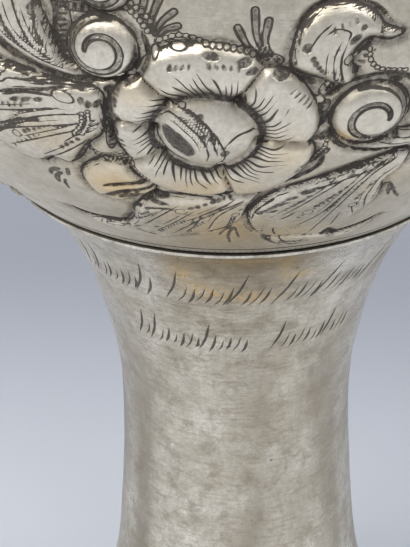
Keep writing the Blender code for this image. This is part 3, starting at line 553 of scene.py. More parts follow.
class Chasing:
    """One repeat of the chased band drawn flat, in millimetres.

    height is how far the silver stands out, edge how far a place lies inside a wide cut (below zero outside),
    offset how far it lies to one side of the nearest fine line and thin half that line's width,
    soot and golden how much black and gold lies on the silver, the black partly oxide in the cuts and partly
    painted shadow beside the forms, the gold partly toning and partly painted reflection, matt where it is
    struck rough, and ray and ray_width where the petals' fine cuts run. uneven makes edges wander.
    """

    def __init__(self):
        columns = round(DRAWN_PERIOD / PAPER_STEP)
        rows = round(DRAWN_HEIGHT / PAPER_STEP) + 1
        self.u = (np.arange(columns) * PAPER_STEP - DRAWN_PERIOD / 2)[None, :].repeat(rows, 0)
        self.v = (np.arange(rows) * PAPER_STEP)[:, None].repeat(columns, 1)
        self.height = np.zeros(self.u.shape)
        self.edge = np.full(self.u.shape, -EDGE_REACH)
        self.offset = np.full(self.u.shape, EDGE_REACH)
        self.thin = np.zeros(self.u.shape)
        uneven = softened(np.random.default_rng(5).normal(size=self.u.shape), 14)
        self.uneven = uneven / uneven.std()
        self.soot_and_shadow = np.zeros(self.u.shape)
        self.golden_tone_and_glint = np.zeros(self.u.shape)
        self.matt = np.zeros(self.u.shape)
        self.ray = np.zeros(self.u.shape)
        self.ray_width = np.zeros(self.u.shape)

    def around(self, path, margin):
        """The slice of the drawing round a path."""
        path = np.array(path, float)
        low = path.min(0) - margin
        high = path.max(0) + margin
        first = max(0, int((low[0] + DRAWN_PERIOD / 2) / PAPER_STEP) - 1)
        last = min(self.u.shape[1], int((high[0] + DRAWN_PERIOD / 2) / PAPER_STEP) + 2)
        bottom = max(0, int(low[1] / PAPER_STEP) - 1)
        top = min(self.u.shape[0], int(high[1] / PAPER_STEP) + 2)
        return slice(bottom, top), slice(first, max(last, first))

    def blacken(self, area, depth):
        """Makes a wide cut where a depth is above zero."""
        self.edge[area] = np.maximum(self.edge[area], depth)

    def line(self, area, offset, half_width):
        """Makes a fine line where an offset passes through zero."""
        nearer = np.abs(offset) < np.abs(self.offset[area])
        self.offset[area] = np.where(nearer, offset, self.offset[area])
        self.thin[area] = np.where(nearer, half_width, self.thin[area])

    def clear(self, area, chosen):
        """Takes the cuts and lines away at the chosen places."""
        self.edge[area] = np.where(chosen, -EDGE_REACH, self.edge[area])
        self.offset[area] = np.where(chosen, EDGE_REACH, self.offset[area])
        self.thin[area] = np.where(chosen, 0, self.thin[area])

    def lift(self, area, depth, height, rounding, ground=0.3):
        """Raises a cushion inside an outline, clears what it covers, and cuts a fine line round its edge,
        with painted shadow darkening the ground along it.
        """
        inside = np.clip(depth / rounding, 0, 1)
        cushion = height * inside * (2 - inside)
        sunk = ground * np.clip(1 - np.abs(depth + 0.2), 0, 1)
        covered = depth > 0
        self.height[area] = np.where(covered, cushion, self.height[area]) - sunk
        self.clear(area, covered)
        self.ray_width[area] = np.where(covered, 0, self.ray_width[area])
        self.line(area, depth + 0.05, OUTLINE + 0.05 * self.uneven[area])
        # Painted shadow: a dark band on the ground just outside each raised form
        shadow = np.clip(1 - np.abs(depth + 0.35) / 0.9, 0, 1)
        self.soot_and_shadow[area] = np.maximum(np.where(depth > 0.3, 0, self.soot_and_shadow[area]), shadow * 0.9)

    def form(self, height, rounding, knots):
        """A raised form within a closed smooth outline, with a broken fine line inside its edge."""
        outline = flowing(knots, 6, closed=True)
        ring = np.vstack([outline, outline[:1]])
        area = self.around(outline, 1.6)
        u, v = self.u[area], self.v[area]
        away, _, _ = distance(u, v, ring)
        crossings = np.zeros(u.shape, int)
        for start, end in zip(ring, ring[1:]):
            spans = (start[1] > v) != (end[1] > v)
            rise = end[1] - start[1] or 1e-12
            crossings += spans & (u < start[0] + (v - start[1]) * (end[0] - start[0]) / rise)
        depth = np.where(crossings % 2 == 1, away, -away)
        self.lift(area, depth, height * SHALLOW, rounding)
        self.line(area, depth - ECHO_INSET, np.clip(0.06 * self.uneven[area], 0, 0.08))

    def cut(self, half_width, depth, path, ends=0.3, core=1.0):
        """A wide cut along a path, which narrows to its ends."""
        area = self.around(path, half_width + EDGE_REACH)
        away, share, _ = distance(self.u[area], self.v[area], path)
        width = half_width * np.clip(5 * np.minimum(share, 1 - share) + ends, ends, 1)
        bed = np.clip(1 - (away / width) ** 2, 0, 1)
        self.height[area] -= depth * bed
        self.blacken(area, width * core - away)
        if core < 1:
            self.soot_and_shadow[area] = np.maximum(self.soot_and_shadow[area], 0.8 * bed)

    def scratch(self, half_width, depth, path, ends=0.3):
        """A fine cut line along a path, which narrows to its ends."""
        area = self.around(path, EDGE_REACH)
        away, share, side = distance(self.u[area], self.v[area], path)
        width = half_width * np.clip(5 * np.minimum(share, 1 - share) + ends, ends, 1)
        self.height[area] -= depth * np.clip(1 - (away / half_width / 2) ** 2, 0, 1)
        self.line(area, away * side, width + 0.02 * self.uneven[area])

    def channel(self, half_width, depth, path, start, growth):
        """A groove with a dull bed between two fine edges, which widens from its start."""
        area = self.around(path, half_width + EDGE_REACH)
        away, share, _ = distance(self.u[area], self.v[area], path)
        width = half_width * np.clip(start + growth * share, 0, 1)
        bed = np.clip((width - away) / 0.15, 0, 1)
        self.height[area] -= depth * bed
        self.clear(area, away < width)
        self.soot_and_shadow[area] = np.maximum(self.soot_and_shadow[area], 0.85 * bed)
        self.line(area, away - width, 0.15 + 0.02 * self.uneven[area])

    def oval(self, u0, v0, long_side, short_side, turn, depth, dark):
        """A small oval struck with one punch, blackened all over or only round its edge."""
        area = self.around([(u0, v0)], long_side + EDGE_REACH)
        angle = math.radians(turn)
        across = (self.u[area] - u0) * math.cos(angle) + (self.v[area] - v0) * math.sin(angle)
        along = (self.v[area] - v0) * math.cos(angle) - (self.u[area] - u0) * math.sin(angle)
        out = np.hypot(across / long_side, along / short_side)
        inside = (1 - out) * short_side
        self.height[area] -= depth * np.clip(1 - out ** 2, 0, 1)
        if dark:
            self.blacken(area, inside)
        else:
            self.clear(area, inside > 0.1)
            self.soot_and_shadow[area] = np.where(inside > 0.1, 0, self.soot_and_shadow[area])
            self.line(area, inside, 0.1)
        return area, np.clip((1.1 - out) / 0.2, 0, 1)

    def ring(self, u0, v0, radius):
        """A ring struck with a hollow punch."""
        area = self.around([(u0, v0)], radius + EDGE_REACH)
        out = np.hypot(self.u[area] - u0, self.v[area] - v0)
        self.clear(area, out < radius)
        self.line(area, out - radius, 0.1)

    def spotted(self, ground, rows):
        """A mask with soft spots in it, given as centre, half sizes and strength."""
        for u0, v0, wide, tall, strength in rows:
            spot = strength * np.exp(-((self.u - u0) / wide) ** 2 - ((self.v - v0) / tall) ** 2)
            ground = np.maximum(ground, spot)
        return ground

    def layers(self):
        """The grids that raised forms and cuts change."""
        return self.height, self.edge, self.offset, self.thin, self.soot_and_shadow, self.ray_width

    def copied(self, area):
        """What is drawn in an area now."""
        return [layer[area].copy() for layer in self.layers()]

    def restore(self, area, before, chosen):
        """Puts back what was drawn before at the chosen places."""
        for layer, values in zip(self.layers(), before):
            layer[area] = np.where(chosen, values, layer[area])


def chase_flower(chasing):
    """Six petals with fine cuts at their roots, round a domed boss."""
    reach = max(petal[2] for petal in PETALS)
    area = chasing.around([FLOWER], reach + 1.6)
    across, along = chasing.u[area] - FLOWER[0], chasing.v[area] - FLOWER[1]
    out = np.hypot(across, along)
    angle = np.degrees(np.arctan2(along, across))
    for start, end, length, _ in PETALS:
        turned = (angle - start) % 360
        sideways = 2 * turned / (end - start) - 1
        lobe = length * (1 - 0.1 * np.abs(sideways) ** 4)
        side = out * np.radians(end - start) / 2 * (1 - np.abs(sideways))
        depth = np.where(turned < end - start, np.minimum(lobe - out, side * 1.3), -9)
        before = chasing.copied(area)
        chasing.lift(area, depth, PETAL_HEIGHT, 2.0)
        chasing.restore(area, before, depth <= -1.2)
    dip = np.clip(1 - np.abs(out - PETAL_ROOT) / 1.9, 0, 1)
    chasing.height[area] -= 0.8 * dip * dip * (3 - 2 * dip)
    turned_from_gap = (angle - 130) % 360
    for start, end, _, cut in PETALS:
        turned = (angle - start) % 360
        within = turned < end - start
        sideways = 2 * turned / (end - start) - 1
        phase = turned_from_gap / RAY_SPACING + 0.35 * np.sin(turned_from_gap * 0.21) - 0.5 * (out - 7)
        chasing.ray[area] = np.where(within & (out < reach), phase, chasing.ray[area])
        length = cut * (0.8 + 0.2 * np.sin(turned_from_gap * 0.47)) * (1 - 0.5 * np.abs(sideways) ** 6)
        taper = 1 - (out - 6.9) / length
        width = RAY_WIDTH * np.sqrt(np.clip(taper, 0, 1)) * (out > 6.4) * (np.abs(sideways) < 0.93)
        chasing.ray_width[area] = np.where(within, width, chasing.ray_width[area])
    level = np.clip(1 - (out / BOSS_RADIUS) ** 2.6, 0, 1)
    chasing.height[area] = np.where(level > 0, BOSS_HEIGHT * level ** 0.6 - 0.4, chasing.height[area])
    cleared = out < BOSS_RADIUS - 0.25
    chasing.soot_and_shadow[area] = np.where(cleared, 0, chasing.soot_and_shadow[area])
    chasing.clear(area, cleared)
    moat = PETAL_ROOT + 0.12 * np.sin(np.radians(angle * 3))
    chasing.blacken(area, 0.4 + 0.14 * np.sin(np.radians(angle * 2)) - np.abs(out - moat))
    # Painted shade spreading out from the oxide in the moat round the boss
    chasing.soot_and_shadow[area] = np.maximum(chasing.soot_and_shadow[area], np.clip(1.25 - np.abs(out - moat) / 0.9, 0, 1))


def chase_volute(chasing, u0, v0, radius, height, start, turns):
    """A round scroll end with its roll cut as a spiral."""
    area = chasing.around([(u0, v0)], radius + 1.4)
    depth = radius - np.hypot(chasing.u[area] - u0, chasing.v[area] - v0)
    chasing.lift(area, depth, height * SHALLOW, radius * 0.45, ground=0.4)
    share = np.linspace(0, 1, 60)
    angle = np.radians(start) + share * turns * 2 * math.pi
    out = radius * (0.42 + 0.6 * share ** 1.7)
    roll = np.column_stack([u0 + out * np.cos(angle), v0 + out * np.sin(angle)])
    before = chasing.copied(area)
    chasing.channel(0.38, 0.35, roll, 0.5, 2.4)
    chasing.restore(area, before, depth <= 0.15)


def drawn_band():
    """The whole pattern of one repeat."""
    chasing = Chasing()
    for height, rounding, knots in FORMS:
        chasing.form(height, rounding, knots)
    for place in MATTED[1:]:
        area, filled = chasing.oval(*place, 0.2, 0)
        chasing.matt[area] = np.maximum(chasing.matt[area], filled)
    for volute in VOLUTES:
        chase_volute(chasing, *volute)
    chase_flower(chasing)
    for half_width, depth, knots in GROOVES:
        chasing.cut(half_width, depth * 0.7, flowing(knots, 6), ends=0.35, core=0.6)
    for half_width, depth, courses in LINES:
        for knots in courses:
            path = flowing(knots, 5)
            if lengths(path)[-1] > TWIN_FROM:
                beside = (path + outward(path) * TWIN_AWAY)[len(path) // 5:-len(path) // 5]
                chasing.scratch(half_width * 0.6, 0, beside)
            chasing.scratch(half_width, depth * 0.4, path)
    for half_width, knots in TEETH:
        chasing.cut(half_width, half_width * 0.4, flowing(knots, 5))
    for knots in STALKS:
        chasing.channel(0.4, 0.2, flowing(knots, 5), 0.4, 0.7)
    for first, last, count, length, turn in TICKS:
        half = np.array([math.cos(math.radians(turn)), math.sin(math.radians(turn))]) * length / 2
        for middle in np.linspace(first, last, count):
            chasing.cut(TICK_WIDTH, 0.05, np.array([middle - half, middle + half]), ends=0.6)
    seam_line = np.array([(-DRAWN_PERIOD / 2, SEAM_LINE_HEIGHT), (DRAWN_PERIOD / 2, SEAM_LINE_HEIGHT)])
    chasing.scratch(SEAM_LINE_WIDTH, 0, seam_line, ends=1)
    area, filled = chasing.oval(*MATTED[0], 0.35, 1)
    chasing.matt[area] = np.maximum(chasing.matt[area], filled)
    for first, last, count, first_radius, last_radius in DOTS:
        for u0, v0, radius in np.linspace((*first, first_radius), (*last, last_radius), count):
            chasing.oval(u0, v0, radius * 1.25, radius, 60, radius * 0.4, 1)
    for u0, v0, long_side, short_side, turn, dark in OVALS:
        chasing.oval(u0, v0, long_side, short_side, turn, 0.2 if dark else -0.1, dark)
    for course, spacing, radius in RING_RUNS:
        for u0, v0 in respaced(flowing(course, 8), spacing):
            chasing.ring(u0, v0, radius)
    for ring in RINGS:
        chasing.ring(*ring)
    # Golden toning in soft patches, partly painted reflection
    chasing.golden_tone_and_glint = chasing.spotted(chasing.golden_tone_and_glint, GOLDEN_TONE_AND_REFLECTION)
    chasing.soot_and_shadow = chasing.spotted(chasing.soot_and_shadow, GRIME)
    calm = np.clip(np.minimum(chasing.v - 1.5, DRAWN_HEIGHT - chasing.v) / 1.5, 0, 1)
    chasing.edge += RAGGED * chasing.uneven
    chasing.soot_and_shadow *= calm
    chasing.height = softened(chasing.height * calm, 3)
    chasing.soot_and_shadow = softened(chasing.soot_and_shadow, 2)
    chasing.matt = softened(chasing.matt, 2)
    return chasing


def softened(grid, times):
    """The grid with each place shared with its neighbours, joined left to right."""
    for _ in range(times):
        grid = (np.roll(grid, 1, 1) + 2 * grid + np.roll(grid, -1, 1)) / 4
        inner = (grid[2:] + 2 * grid[1:-1] + grid[:-2]) / 4
        grid = np.vstack([grid[:1], inner, grid[-1:]])
    return grid


def read_at(grid, u, v):
    """Values of a drawn grid at places, with the repeats joined."""
    column = ((u + DRAWN_PERIOD / 2) % DRAWN_PERIOD) / PAPER_STEP
    row = np.clip(v / PAPER_STEP, 0, grid.shape[0] - 1.001)
    left = np.floor(column).astype(int) % grid.shape[1]
    right = (left + 1) % grid.shape[1]
    low = np.floor(row).astype(int)
    across = column - np.floor(column)
    up = row - low
    bottom = grid[low, left] * (1 - across) + grid[low, right] * across
    top = grid[low + 1, left] * (1 - across) + grid[low + 1, right] * across
    return bottom * (1 - up) + top * up


def spun(name, profile, columns):
    """A closed shell: a line of points extruded along a profile and spun round the cup's axis."""
    bpy.ops.object.select_all(action="DESELECT")
    bpy.ops.mesh.primitive_plane_add(size=0.0002, location=(0, -profile[0, 0], profile[0, 1]))
    piece = bpy.context.object
    piece.name = name
    piece.data.name = name
    bpy.ops.object.transform_apply(location=True, rotation=True, scale=True)
    bpy.ops.object.mode_set(mode="EDIT")
    bpy.ops.mesh.select_mode(type="VERT")
    bpy.ops.mesh.select_all(action="SELECT")
    bpy.ops.mesh.merge(type="CENTER")
    for run, rise in np.diff(profile, axis=0):
        bpy.ops.mesh.extrude_region_move(TRANSFORM_OT_translate={"value": (0, -run, rise)})
    bpy.ops.mesh.select_all(action="SELECT")
    bpy.ops.mesh.spin(steps=columns, angle=2 * math.pi, center=(0, 0, 0), axis=(0, 0, 1))
    bpy.ops.mesh.select_all(action="SELECT")
    bpy.ops.mesh.remove_doubles(threshold=0.00001)
    bpy.ops.mesh.normals_make_consistent(inside=False)
    bpy.ops.object.mode_set(mode="OBJECT")
    return piece


def divide(piece, chosen, cuts):
    """Divides the chosen faces of a piece into smaller ones."""
    bpy.context.view_layer.objects.active = piece
    bpy.ops.object.mode_set(mode="EDIT")
    bpy.ops.mesh.select_mode(type="FACE")
    bpy.ops.mesh.select_all(action="DESELECT")
    bpy.ops.object.mode_set(mode="OBJECT")
    piece.data.polygons.foreach_set("select", chosen)
    bpy.ops.object.mode_set(mode="EDIT")
    bpy.ops.mesh.subdivide(number_cuts=cuts, ngon=False)
    bpy.ops.object.mode_set(mode="OBJECT")


def corners(piece):
    """The corners of a piece as an array."""
    places = np.empty(len(piece.data.vertices) * 3)
    piece.data.vertices.foreach_get("co", places)
    return places.reshape(-1, 3)


def face_centres(piece):
    """The middles of the faces of a piece as an array."""
    places = np.empty(len(piece.data.polygons) * 3)
    piece.data.polygons.foreach_get("center", places)
    return places.reshape(-1, 3)


def swung(section, azimuth):
    """Radius and height swung round the cup's axis to an azimuth from the front."""
    radius, height = section.T
    return np.column_stack([radius * np.sin(azimuth), -radius * np.cos(azimuth), height])


class Wall:
    """The outer wall of a turned piece, by its profile from bottom to top."""

    def __init__(self, profile):
        self.profile = profile
        self.along = lengths(profile)
        self.normals = outward(profile)

    def at(self, s):
        """Section and normal of the wall at distances along it."""
        made = [np.interp(s, self.along, column) for column in (*self.profile.T, *self.normals.T)]
        return np.column_stack(made[:2]), np.column_stack(made[2:])

    def find(self, places):
        """Azimuth from the front, distance along the wall, and distance out of it."""
        azimuth = np.arctan2(places[:, 0], -places[:, 1])
        section = np.column_stack([np.hypot(places[:, 0], places[:, 1]), places[:, 2]])
        s = np.interp(places[:, 2], self.profile[:, 1], self.along)
        for _ in range(6):
            point, normal = self.at(s)
            tangent = np.column_stack([-normal[:, 1], normal[:, 0]])
            s = np.clip(s + ((section - point) * tangent).sum(1), 0, self.along[-1])
        point, normal = self.at(s)
        return azimuth, s, ((section - point) * normal).sum(1)

    def put(self, azimuth, s, lift):
        """Places on the wall, lifted out of it."""
        point, normal = self.at(s)
        return swung(point + normal * lift[:, None], azimuth)

    def in_view(self, azimuth, s):
        """Which places of the wall face the photograph's camera and lie in its frame or just beside it."""
        point, normal = self.at(s)
        forward = np.array(CAMERA_AIM) - np.array(CAMERA_PLACE)
        forward /= np.linalg.norm(forward)
        right = np.array([1.0, 0, 0])
        seen = swung(point, azimuth) - (np.array(CAMERA_PLACE) - (0, 0, FOOT_HEIGHT))
        half = (seen @ forward) * (SENSOR_WIDTH / 2 / CAMERA_LENS)
        inside = np.abs(seen @ right) < half * FRAME_WIDE
        inside &= np.abs(seen @ np.cross(right, forward)) < half * FRAME_TALL
        return inside & ((swung(normal, azimuth) * -seen).sum(1) > EDGE_ON)


def edge_mask(depth):
    """How far a place lies inside a cut, from 0 well outside to 1 well inside."""
    return np.clip(0.5 + 0.5 * depth / EDGE_REACH, 0, 1)


def finish_piece(piece, places, masks):
    """Moves the corners of a piece to places measured from the seam, and stores masks for its material."""
    for name, values in masks.items():
        stored = piece.data.attributes.new(name, "FLOAT", "POINT")
        stored.data.foreach_set("value", values.astype(np.float32))
    piece.data.vertices.foreach_set("co", (places + (0, 0, FOOT_HEIGHT)).ravel())
    piece.data.update()
    print(piece.name, sum(len(face.vertices) - 2 for face in piece.data.polygons), "triangles")


def make_bowl(chasing):
    """The bowl: inside, lip, plain wall, chased band and underside as one shell."""
    wall = Wall(bowl_side())
    band_top = DRAWN_HEIGHT / 1000
    band = respaced(wall.profile, BOWL_ROW, 0, band_top)
    outside = np.vstack([band, respaced(wall.profile, PLAIN_ROW, band_top)[1:]])
    under_start = SEAM_RADIUS - FOOT_WALL - FLOOR_CLEARANCE - UNDER_INSET
    under = bezier((0, -FLOOR_DROP), *((under_start * out, -FLOOR_DROP * down) for out, down in FLOOR_CURVE),
                   (under_start, 0), 8)
    floor = under[:-1] - outward(under)[:-1] * BOWL_WALL
    floor[0, 0] = 0
    inner = wall.profile - wall.normals * BOWL_WALL
    wall_inside = respaced(inner[wall.along > FLOOR_FILLET], INSIDE_ROW)
    fillet = bezier(floor[-1], floor[-1] + (floor[-1] - floor[-2]) * 1.5,
                    wall_inside[0] - (wall_inside[1] - wall_inside[0]) * 1.5, wall_inside[0], 4)
    turn = np.radians(np.linspace(150, -60, 9))
    bead = (RIM_RADIUS, BOWL_RISE - RIM_BEAD) + RIM_BEAD * np.column_stack([np.cos(turn), np.sin(turn)])
    lower_edge = (SEAM_RADIUS, 0) + np.array([(-0.0001, 0.0002), (-0.0004, 0.00005), (-0.0009, 0)])
    profile = np.vstack([floor[:-1], fillet[:-1], wall_inside[:-1], bead, outside[::-1][1:-1],
                         lower_edge, under[::-1]])
    bowl = spun("chased_bowl", profile, BOWL_COLUMNS)
    to_u = DRAWN_PERIOD * REPEATS / (2 * math.pi)
    steep = np.hypot(*np.gradient(chasing.height)) / PAPER_STEP
    lined = (chasing.edge > -0.2) | (np.abs(chasing.offset) < 0.2) | (chasing.ray_width > 0)
    busy = softened((lined | (steep > 0.5)).astype(float), 40) > 0.04
    for cuts, drawn, shown in ((4, True, True), (1, True, False), (1, False, True)):
        azimuth, s, out = wall.find(face_centres(bowl))
        chosen = (np.abs(out) < 0.0004) & (s < band_top - 0.0005) & (s > 0.0003)
        chosen &= (read_at(busy, azimuth * to_u, s * 1000) > 0.5) == drawn
        chosen &= wall.in_view(azimuth, s) == shown
        chosen &= np.array([face.area for face in bowl.data.polygons]) > LEAST_FACE
        divide(bowl, chosen, cuts)
    places = corners(bowl)
    azimuth, s, out = wall.find(places)
    on_band = (np.abs(out) < 0.0003) & (s < band_top) & (places[:, 2] > 0.0001)

    def read(grid):
        """Values of a drawn grid at the corners, and 0 off the band."""
        return np.where(on_band, read_at(grid, azimuth * to_u, s * 1000), 0)

    places = np.where(on_band[:, None], wall.put(azimuth, s, read(chasing.height) * RELIEF), places)
    masks = {"thin": chasing.thin, "soot_and_shadow": chasing.soot_and_shadow, "matt": chasing.matt, "golden_tone_and_glint": chasing.golden_tone_and_glint,
             "ray": chasing.ray, "ray_width": chasing.ray_width, "cuts": edge_mask(chasing.edge),
             "near": 1 - np.abs(chasing.offset) / EDGE_REACH}
    masks = {name: read(grid) for name, grid in masks.items()}
    masks["near"] *= np.where(wall.in_view(azimuth, s), 1, COARSE_NEAR)
    masks["offset"] = np.where(on_band, read(chasing.offset), EDGE_REACH)
    masks["sunk"] = np.clip(read(softened(chasing.height, 60) - chasing.height) * 1.3, 0, 1)
    masks["proud"] = np.clip(read(chasing.height) * 1.6, 0, 1)
    masks["seam"] = np.where((places[:, 2] < 0.00015) & (np.hypot(*places[:, :2].T) > 0.03), 1.0, 0)
    finish_piece(bowl, places, masks)
    return bowl


def strokes(groups, heights, lean, spacing):
    """Slanted strokes as foot and head, in degrees round and millimetres over the seam, and half width."""
    low, middle, high = heights
    made = []
    for group, (first, last) in enumerate(groups):
        count = round((last - first) / spacing)
        for number in range(count):
            place = first + (last - first) * (number + 0.5) / count
            tall = number == 0 or (number * 5 + group * 3) % 7 == 3
            thin = number % 2 == 1 and not tall
            top = high if tall else middle + 0.5 * math.sin(number * 2.1 + group)
            bottom = low + 0.25 * math.sin(number * 1.7 + group * 2)
            tilt = lean * (top - bottom) * (1.25 if thin else 1)
            made.append((place - tilt / 2, bottom, place + tilt / 2, top, 0.13 if thin else 0.22))
    return made


def engraved(wall, degrees, z, outside):
    """How far each corner of the foot lies from the nearest stroke, and half that stroke's width."""
    offset = np.full(len(z), EDGE_REACH)
    thin = np.zeros(len(z))
    for first, bottom, last, top, width in (strokes(UPPER_ROW, UPPER_HEIGHTS, 0.95, 2.9)
                                            + strokes(LOWER_ROW, LOWER_HEIGHTS, 0.9, 3.1)):
        middle = (bottom + top) / 2
        level = np.interp(middle, wall.profile[:, 1] * 1000, wall.profile[:, 0] * 1000) * math.radians(1)
        chosen = np.flatnonzero(outside & (z > bottom - 1) & (z < top + 1)
                                & (np.abs(degrees - (first + last) / 2) < 8))
        path = flowing([(first * level, bottom), ((first * 0.38 + last * 0.62) * level, middle - 0.3),
                        (last * level, top)], 5)
        away, share, side = distance(degrees[chosen] * level, z[chosen], path)
        swell = width * np.clip(np.sin(np.pi * share) ** 0.7 * 1.1, 0.4, 1)
        nearer = away < np.abs(offset[chosen])
        offset[chosen] = np.where(nearer, away * side, offset[chosen])
        thin[chosen] = np.where(nearer, swell, thin[chosen])
    return offset, thin


def make_foot():
    """The foot: engraved stem, spread, step, rounded edge and inside as one shell."""
    side = foot_side()
    wall = Wall(side[::-1])
    bead = (SEAM_RADIUS, 0) + np.array([(-0.0009, -SEAM_GAP), (-0.0003, -SEAM_GAP), (0.00005, -0.00042),
                                        (0.00012, -0.0007), (-0.0001, -0.00105)])
    stem = respaced(side, FOOT_ROW, 0.0016)
    drop = FOOT_HEIGHT - SPREAD_RISE
    edge_top = FOOT_EDGE - FOOT_HEIGHT
    step = bezier((SPREAD_RADIUS, -drop), (SPREAD_RADIUS + STEP_WIDTH, -drop - 0.0002),
                  (SPREAD_RADIUS + STEP_WIDTH * 0.4, -drop - STEP_HEIGHT + 0.0002),
                  (SPREAD_RADIUS + STEP_WIDTH, -drop - STEP_HEIGHT), 6)
    dome_end = np.array([SPREAD_RADIUS + (FOOT_RADIUS - SPREAD_RADIUS) * DOME_SHARE, edge_top + DOME_HEIGHT])
    turn = np.radians(np.linspace(70, -50, 12))
    edge = np.column_stack([FOOT_RADIUS + FOOT_EDGE / 2 * (np.cos(turn) - 1),
                            edge_top + FOOT_EDGE / 2 * (np.sin(turn) - 1)])
    dome = bezier(step[-1], step[-1] + (0.0018, -0.0012), dome_end + (-0.0012, 0.0006), dome_end, 8)
    margin = bezier(dome_end, dome_end + (0.001, -0.0006), edge[0] + (-0.0011, 0.0004), edge[0], 5)
    ring_outside = FOOT_RADIUS - FOOT_EDGE * EDGE_INSET
    ring_inside = ring_outside - STANDING_RING
    inner = side - outward(side[::-1])[::-1] * FOOT_WALL
    inner = respaced(inner[inner[:, 1] < -SEAM_GAP], FOOT_INSIDE_ROW)
    rest = np.array([(ring_outside, -FOOT_HEIGHT), (ring_inside, -FOOT_HEIGHT), (ring_inside, edge_top),
                     dome_end - FOOT_WALL, step[-1] - FOOT_WALL])
    top = np.array([[inner[0, 0], -SEAM_GAP]])
    profile = np.vstack([top, bead, stem, step[1:], dome[1:], margin[1:-1], edge, rest, inner[::-1], top])
    foot = spun("engraved_foot", profile, FOOT_COLUMNS)
    centres = face_centres(foot)
    azimuth, s, out = wall.find(centres)
    z = centres[:, 2] * 1000
    written = (np.abs(out) < 0.0003) & (z < -5.5) & (z > -27) & (np.abs(azimuth) < math.radians(66))
    divide(foot, written, 4)

    places = corners(foot)
    azimuth, s, out = wall.find(places)
    z = places[:, 2] * 1000
    outside = (np.abs(out) < 0.0003) & (z < -1.2) & (z > -99)
    degrees = np.degrees(azimuth)
    radius = np.hypot(places[:, 0], places[:, 1]) * 1000
    offset, thin = engraved(wall, degrees, z, outside)
    pits = np.full(len(places), -EDGE_REACH)
    for place, height, size in PITS:
        away = np.hypot((azimuth - math.radians(place)) * radius, z - height)
        pits = np.where(outside, np.maximum(pits, size * 0.6 - away), pits)
    dents = 0.00004 * np.sin(azimuth * 5 + z * 0.12) * np.sin(z * 0.21 + 1.3)
    dents += 0.00003 * np.sin(azimuth * 11 + z * 0.3 + 2) * np.sin(z * 0.5 + azimuth * 3)
    cut = np.clip((thin - np.abs(offset)) / 0.15, 0, 1)
    lift = (dents - STROKE_DEPTH * cut) * np.clip((-1.2 - z) / 2, 0, 1)
    places = np.where(outside[:, None], wall.put(azimuth, s, lift), places)
    # Dark streaks down the foot: partly tarnish, partly painted dark reflection bands
    streak_and_reflection = np.zeros(len(places))
    for number, middle in enumerate(STREAKS_AND_REFLECTIONS):
        wander = middle + 3 * np.sin(z * 0.09 + number * 1.9)
        strength = 0.75 + 0.35 * np.sin(z * 0.13 + number * 2.7)
        streak_and_reflection += strength * np.exp(-((degrees - wander) / (6 + number * 5 % 4)) ** 2)
    # Painted gold glints under the seam, a reflection of the bowl
    golden_tone_and_glint = np.zeros(len(places))
    for middle, level, wide, tall in PAINTED_GLINTS:
        golden_tone_and_glint += np.exp(-((degrees - middle) / wide) ** 2 - ((z - level) / tall) ** 2)
    finish_piece(foot, places, {
        "cuts": edge_mask(pits) * outside,
        "offset": np.where(outside, offset, EDGE_REACH),
        "near": (1 - np.abs(offset) / EDGE_REACH) * outside,
        "thin": thin * outside,
        "seam": np.where((z > -0.36) & (radius > 32), 1.0, 0),
        # Painted brown reflection of the bowl on the front of the foot under the seam
        "brown_reflection": np.exp(-(degrees / 22) ** 2 - ((z + 4.8) / 4.2) ** 2) * outside,
        "golden_tone_and_glint": np.clip(golden_tone_and_glint, 0, 1) * outside,
        "streak_and_reflection": np.clip(streak_and_reflection, 0, 1) * outside * np.clip((-16 - z) / 16, 0, 1),
    })
    return foot


def add_node(tree, kind, **values):
    """A node with its named inputs and settings."""
    node = tree.nodes.new(kind)
    for name, value in values.items():
        if hasattr(node, name):
            setattr(node, name, value)
        else:
            node.inputs[name.replace("_", " ")].default_value = value
    return node


def joined(tree, socket, value):
    """Links a socket to another, or sets its plain value."""
    if isinstance(value, bpy.types.NodeSocket):
        tree.links.new(value, socket)
    else:
        socket.default_value = value


def mixed(tree, fac, first, second):
    """A colour mix."""
    node = add_node(tree, "ShaderNodeMix", data_type="RGBA")
    for socket, value in ((node.inputs[0], fac), (node.inputs[6], first), (node.inputs[7], second)):
        joined(tree, socket, value)
    return node.outputs[2]


def reckoned(tree, operation, *values, clamp=False):
    """A sum, product or other reckoning of sockets and plain values."""
    node = add_node(tree, "ShaderNodeMath", operation=operation, use_clamp=clamp)
    for socket, value in zip(node.inputs, values):
        joined(tree, socket, value)
    return node.outputs[0]


def between(tree, value, low, high, interpolation="LINEAR"):
    """How far a value has gone from a low to a high bound, from 0 to 1."""
    node = add_node(tree, "ShaderNodeMapRange", interpolation_type=interpolation, From_Min=low, From_Max=high)
    tree.links.new(value, node.inputs["Value"])
    return node.outputs["Result"]


def noise(tree, place, size, **settings):
    """A cloudy pattern read at a place."""
    node = add_node(tree, "ShaderNodeTexNoise", **settings)
    tree.links.new(place, node.inputs["Vector"])
    joined(tree, node.inputs["Scale"], size)
    return node.outputs["Fac"]


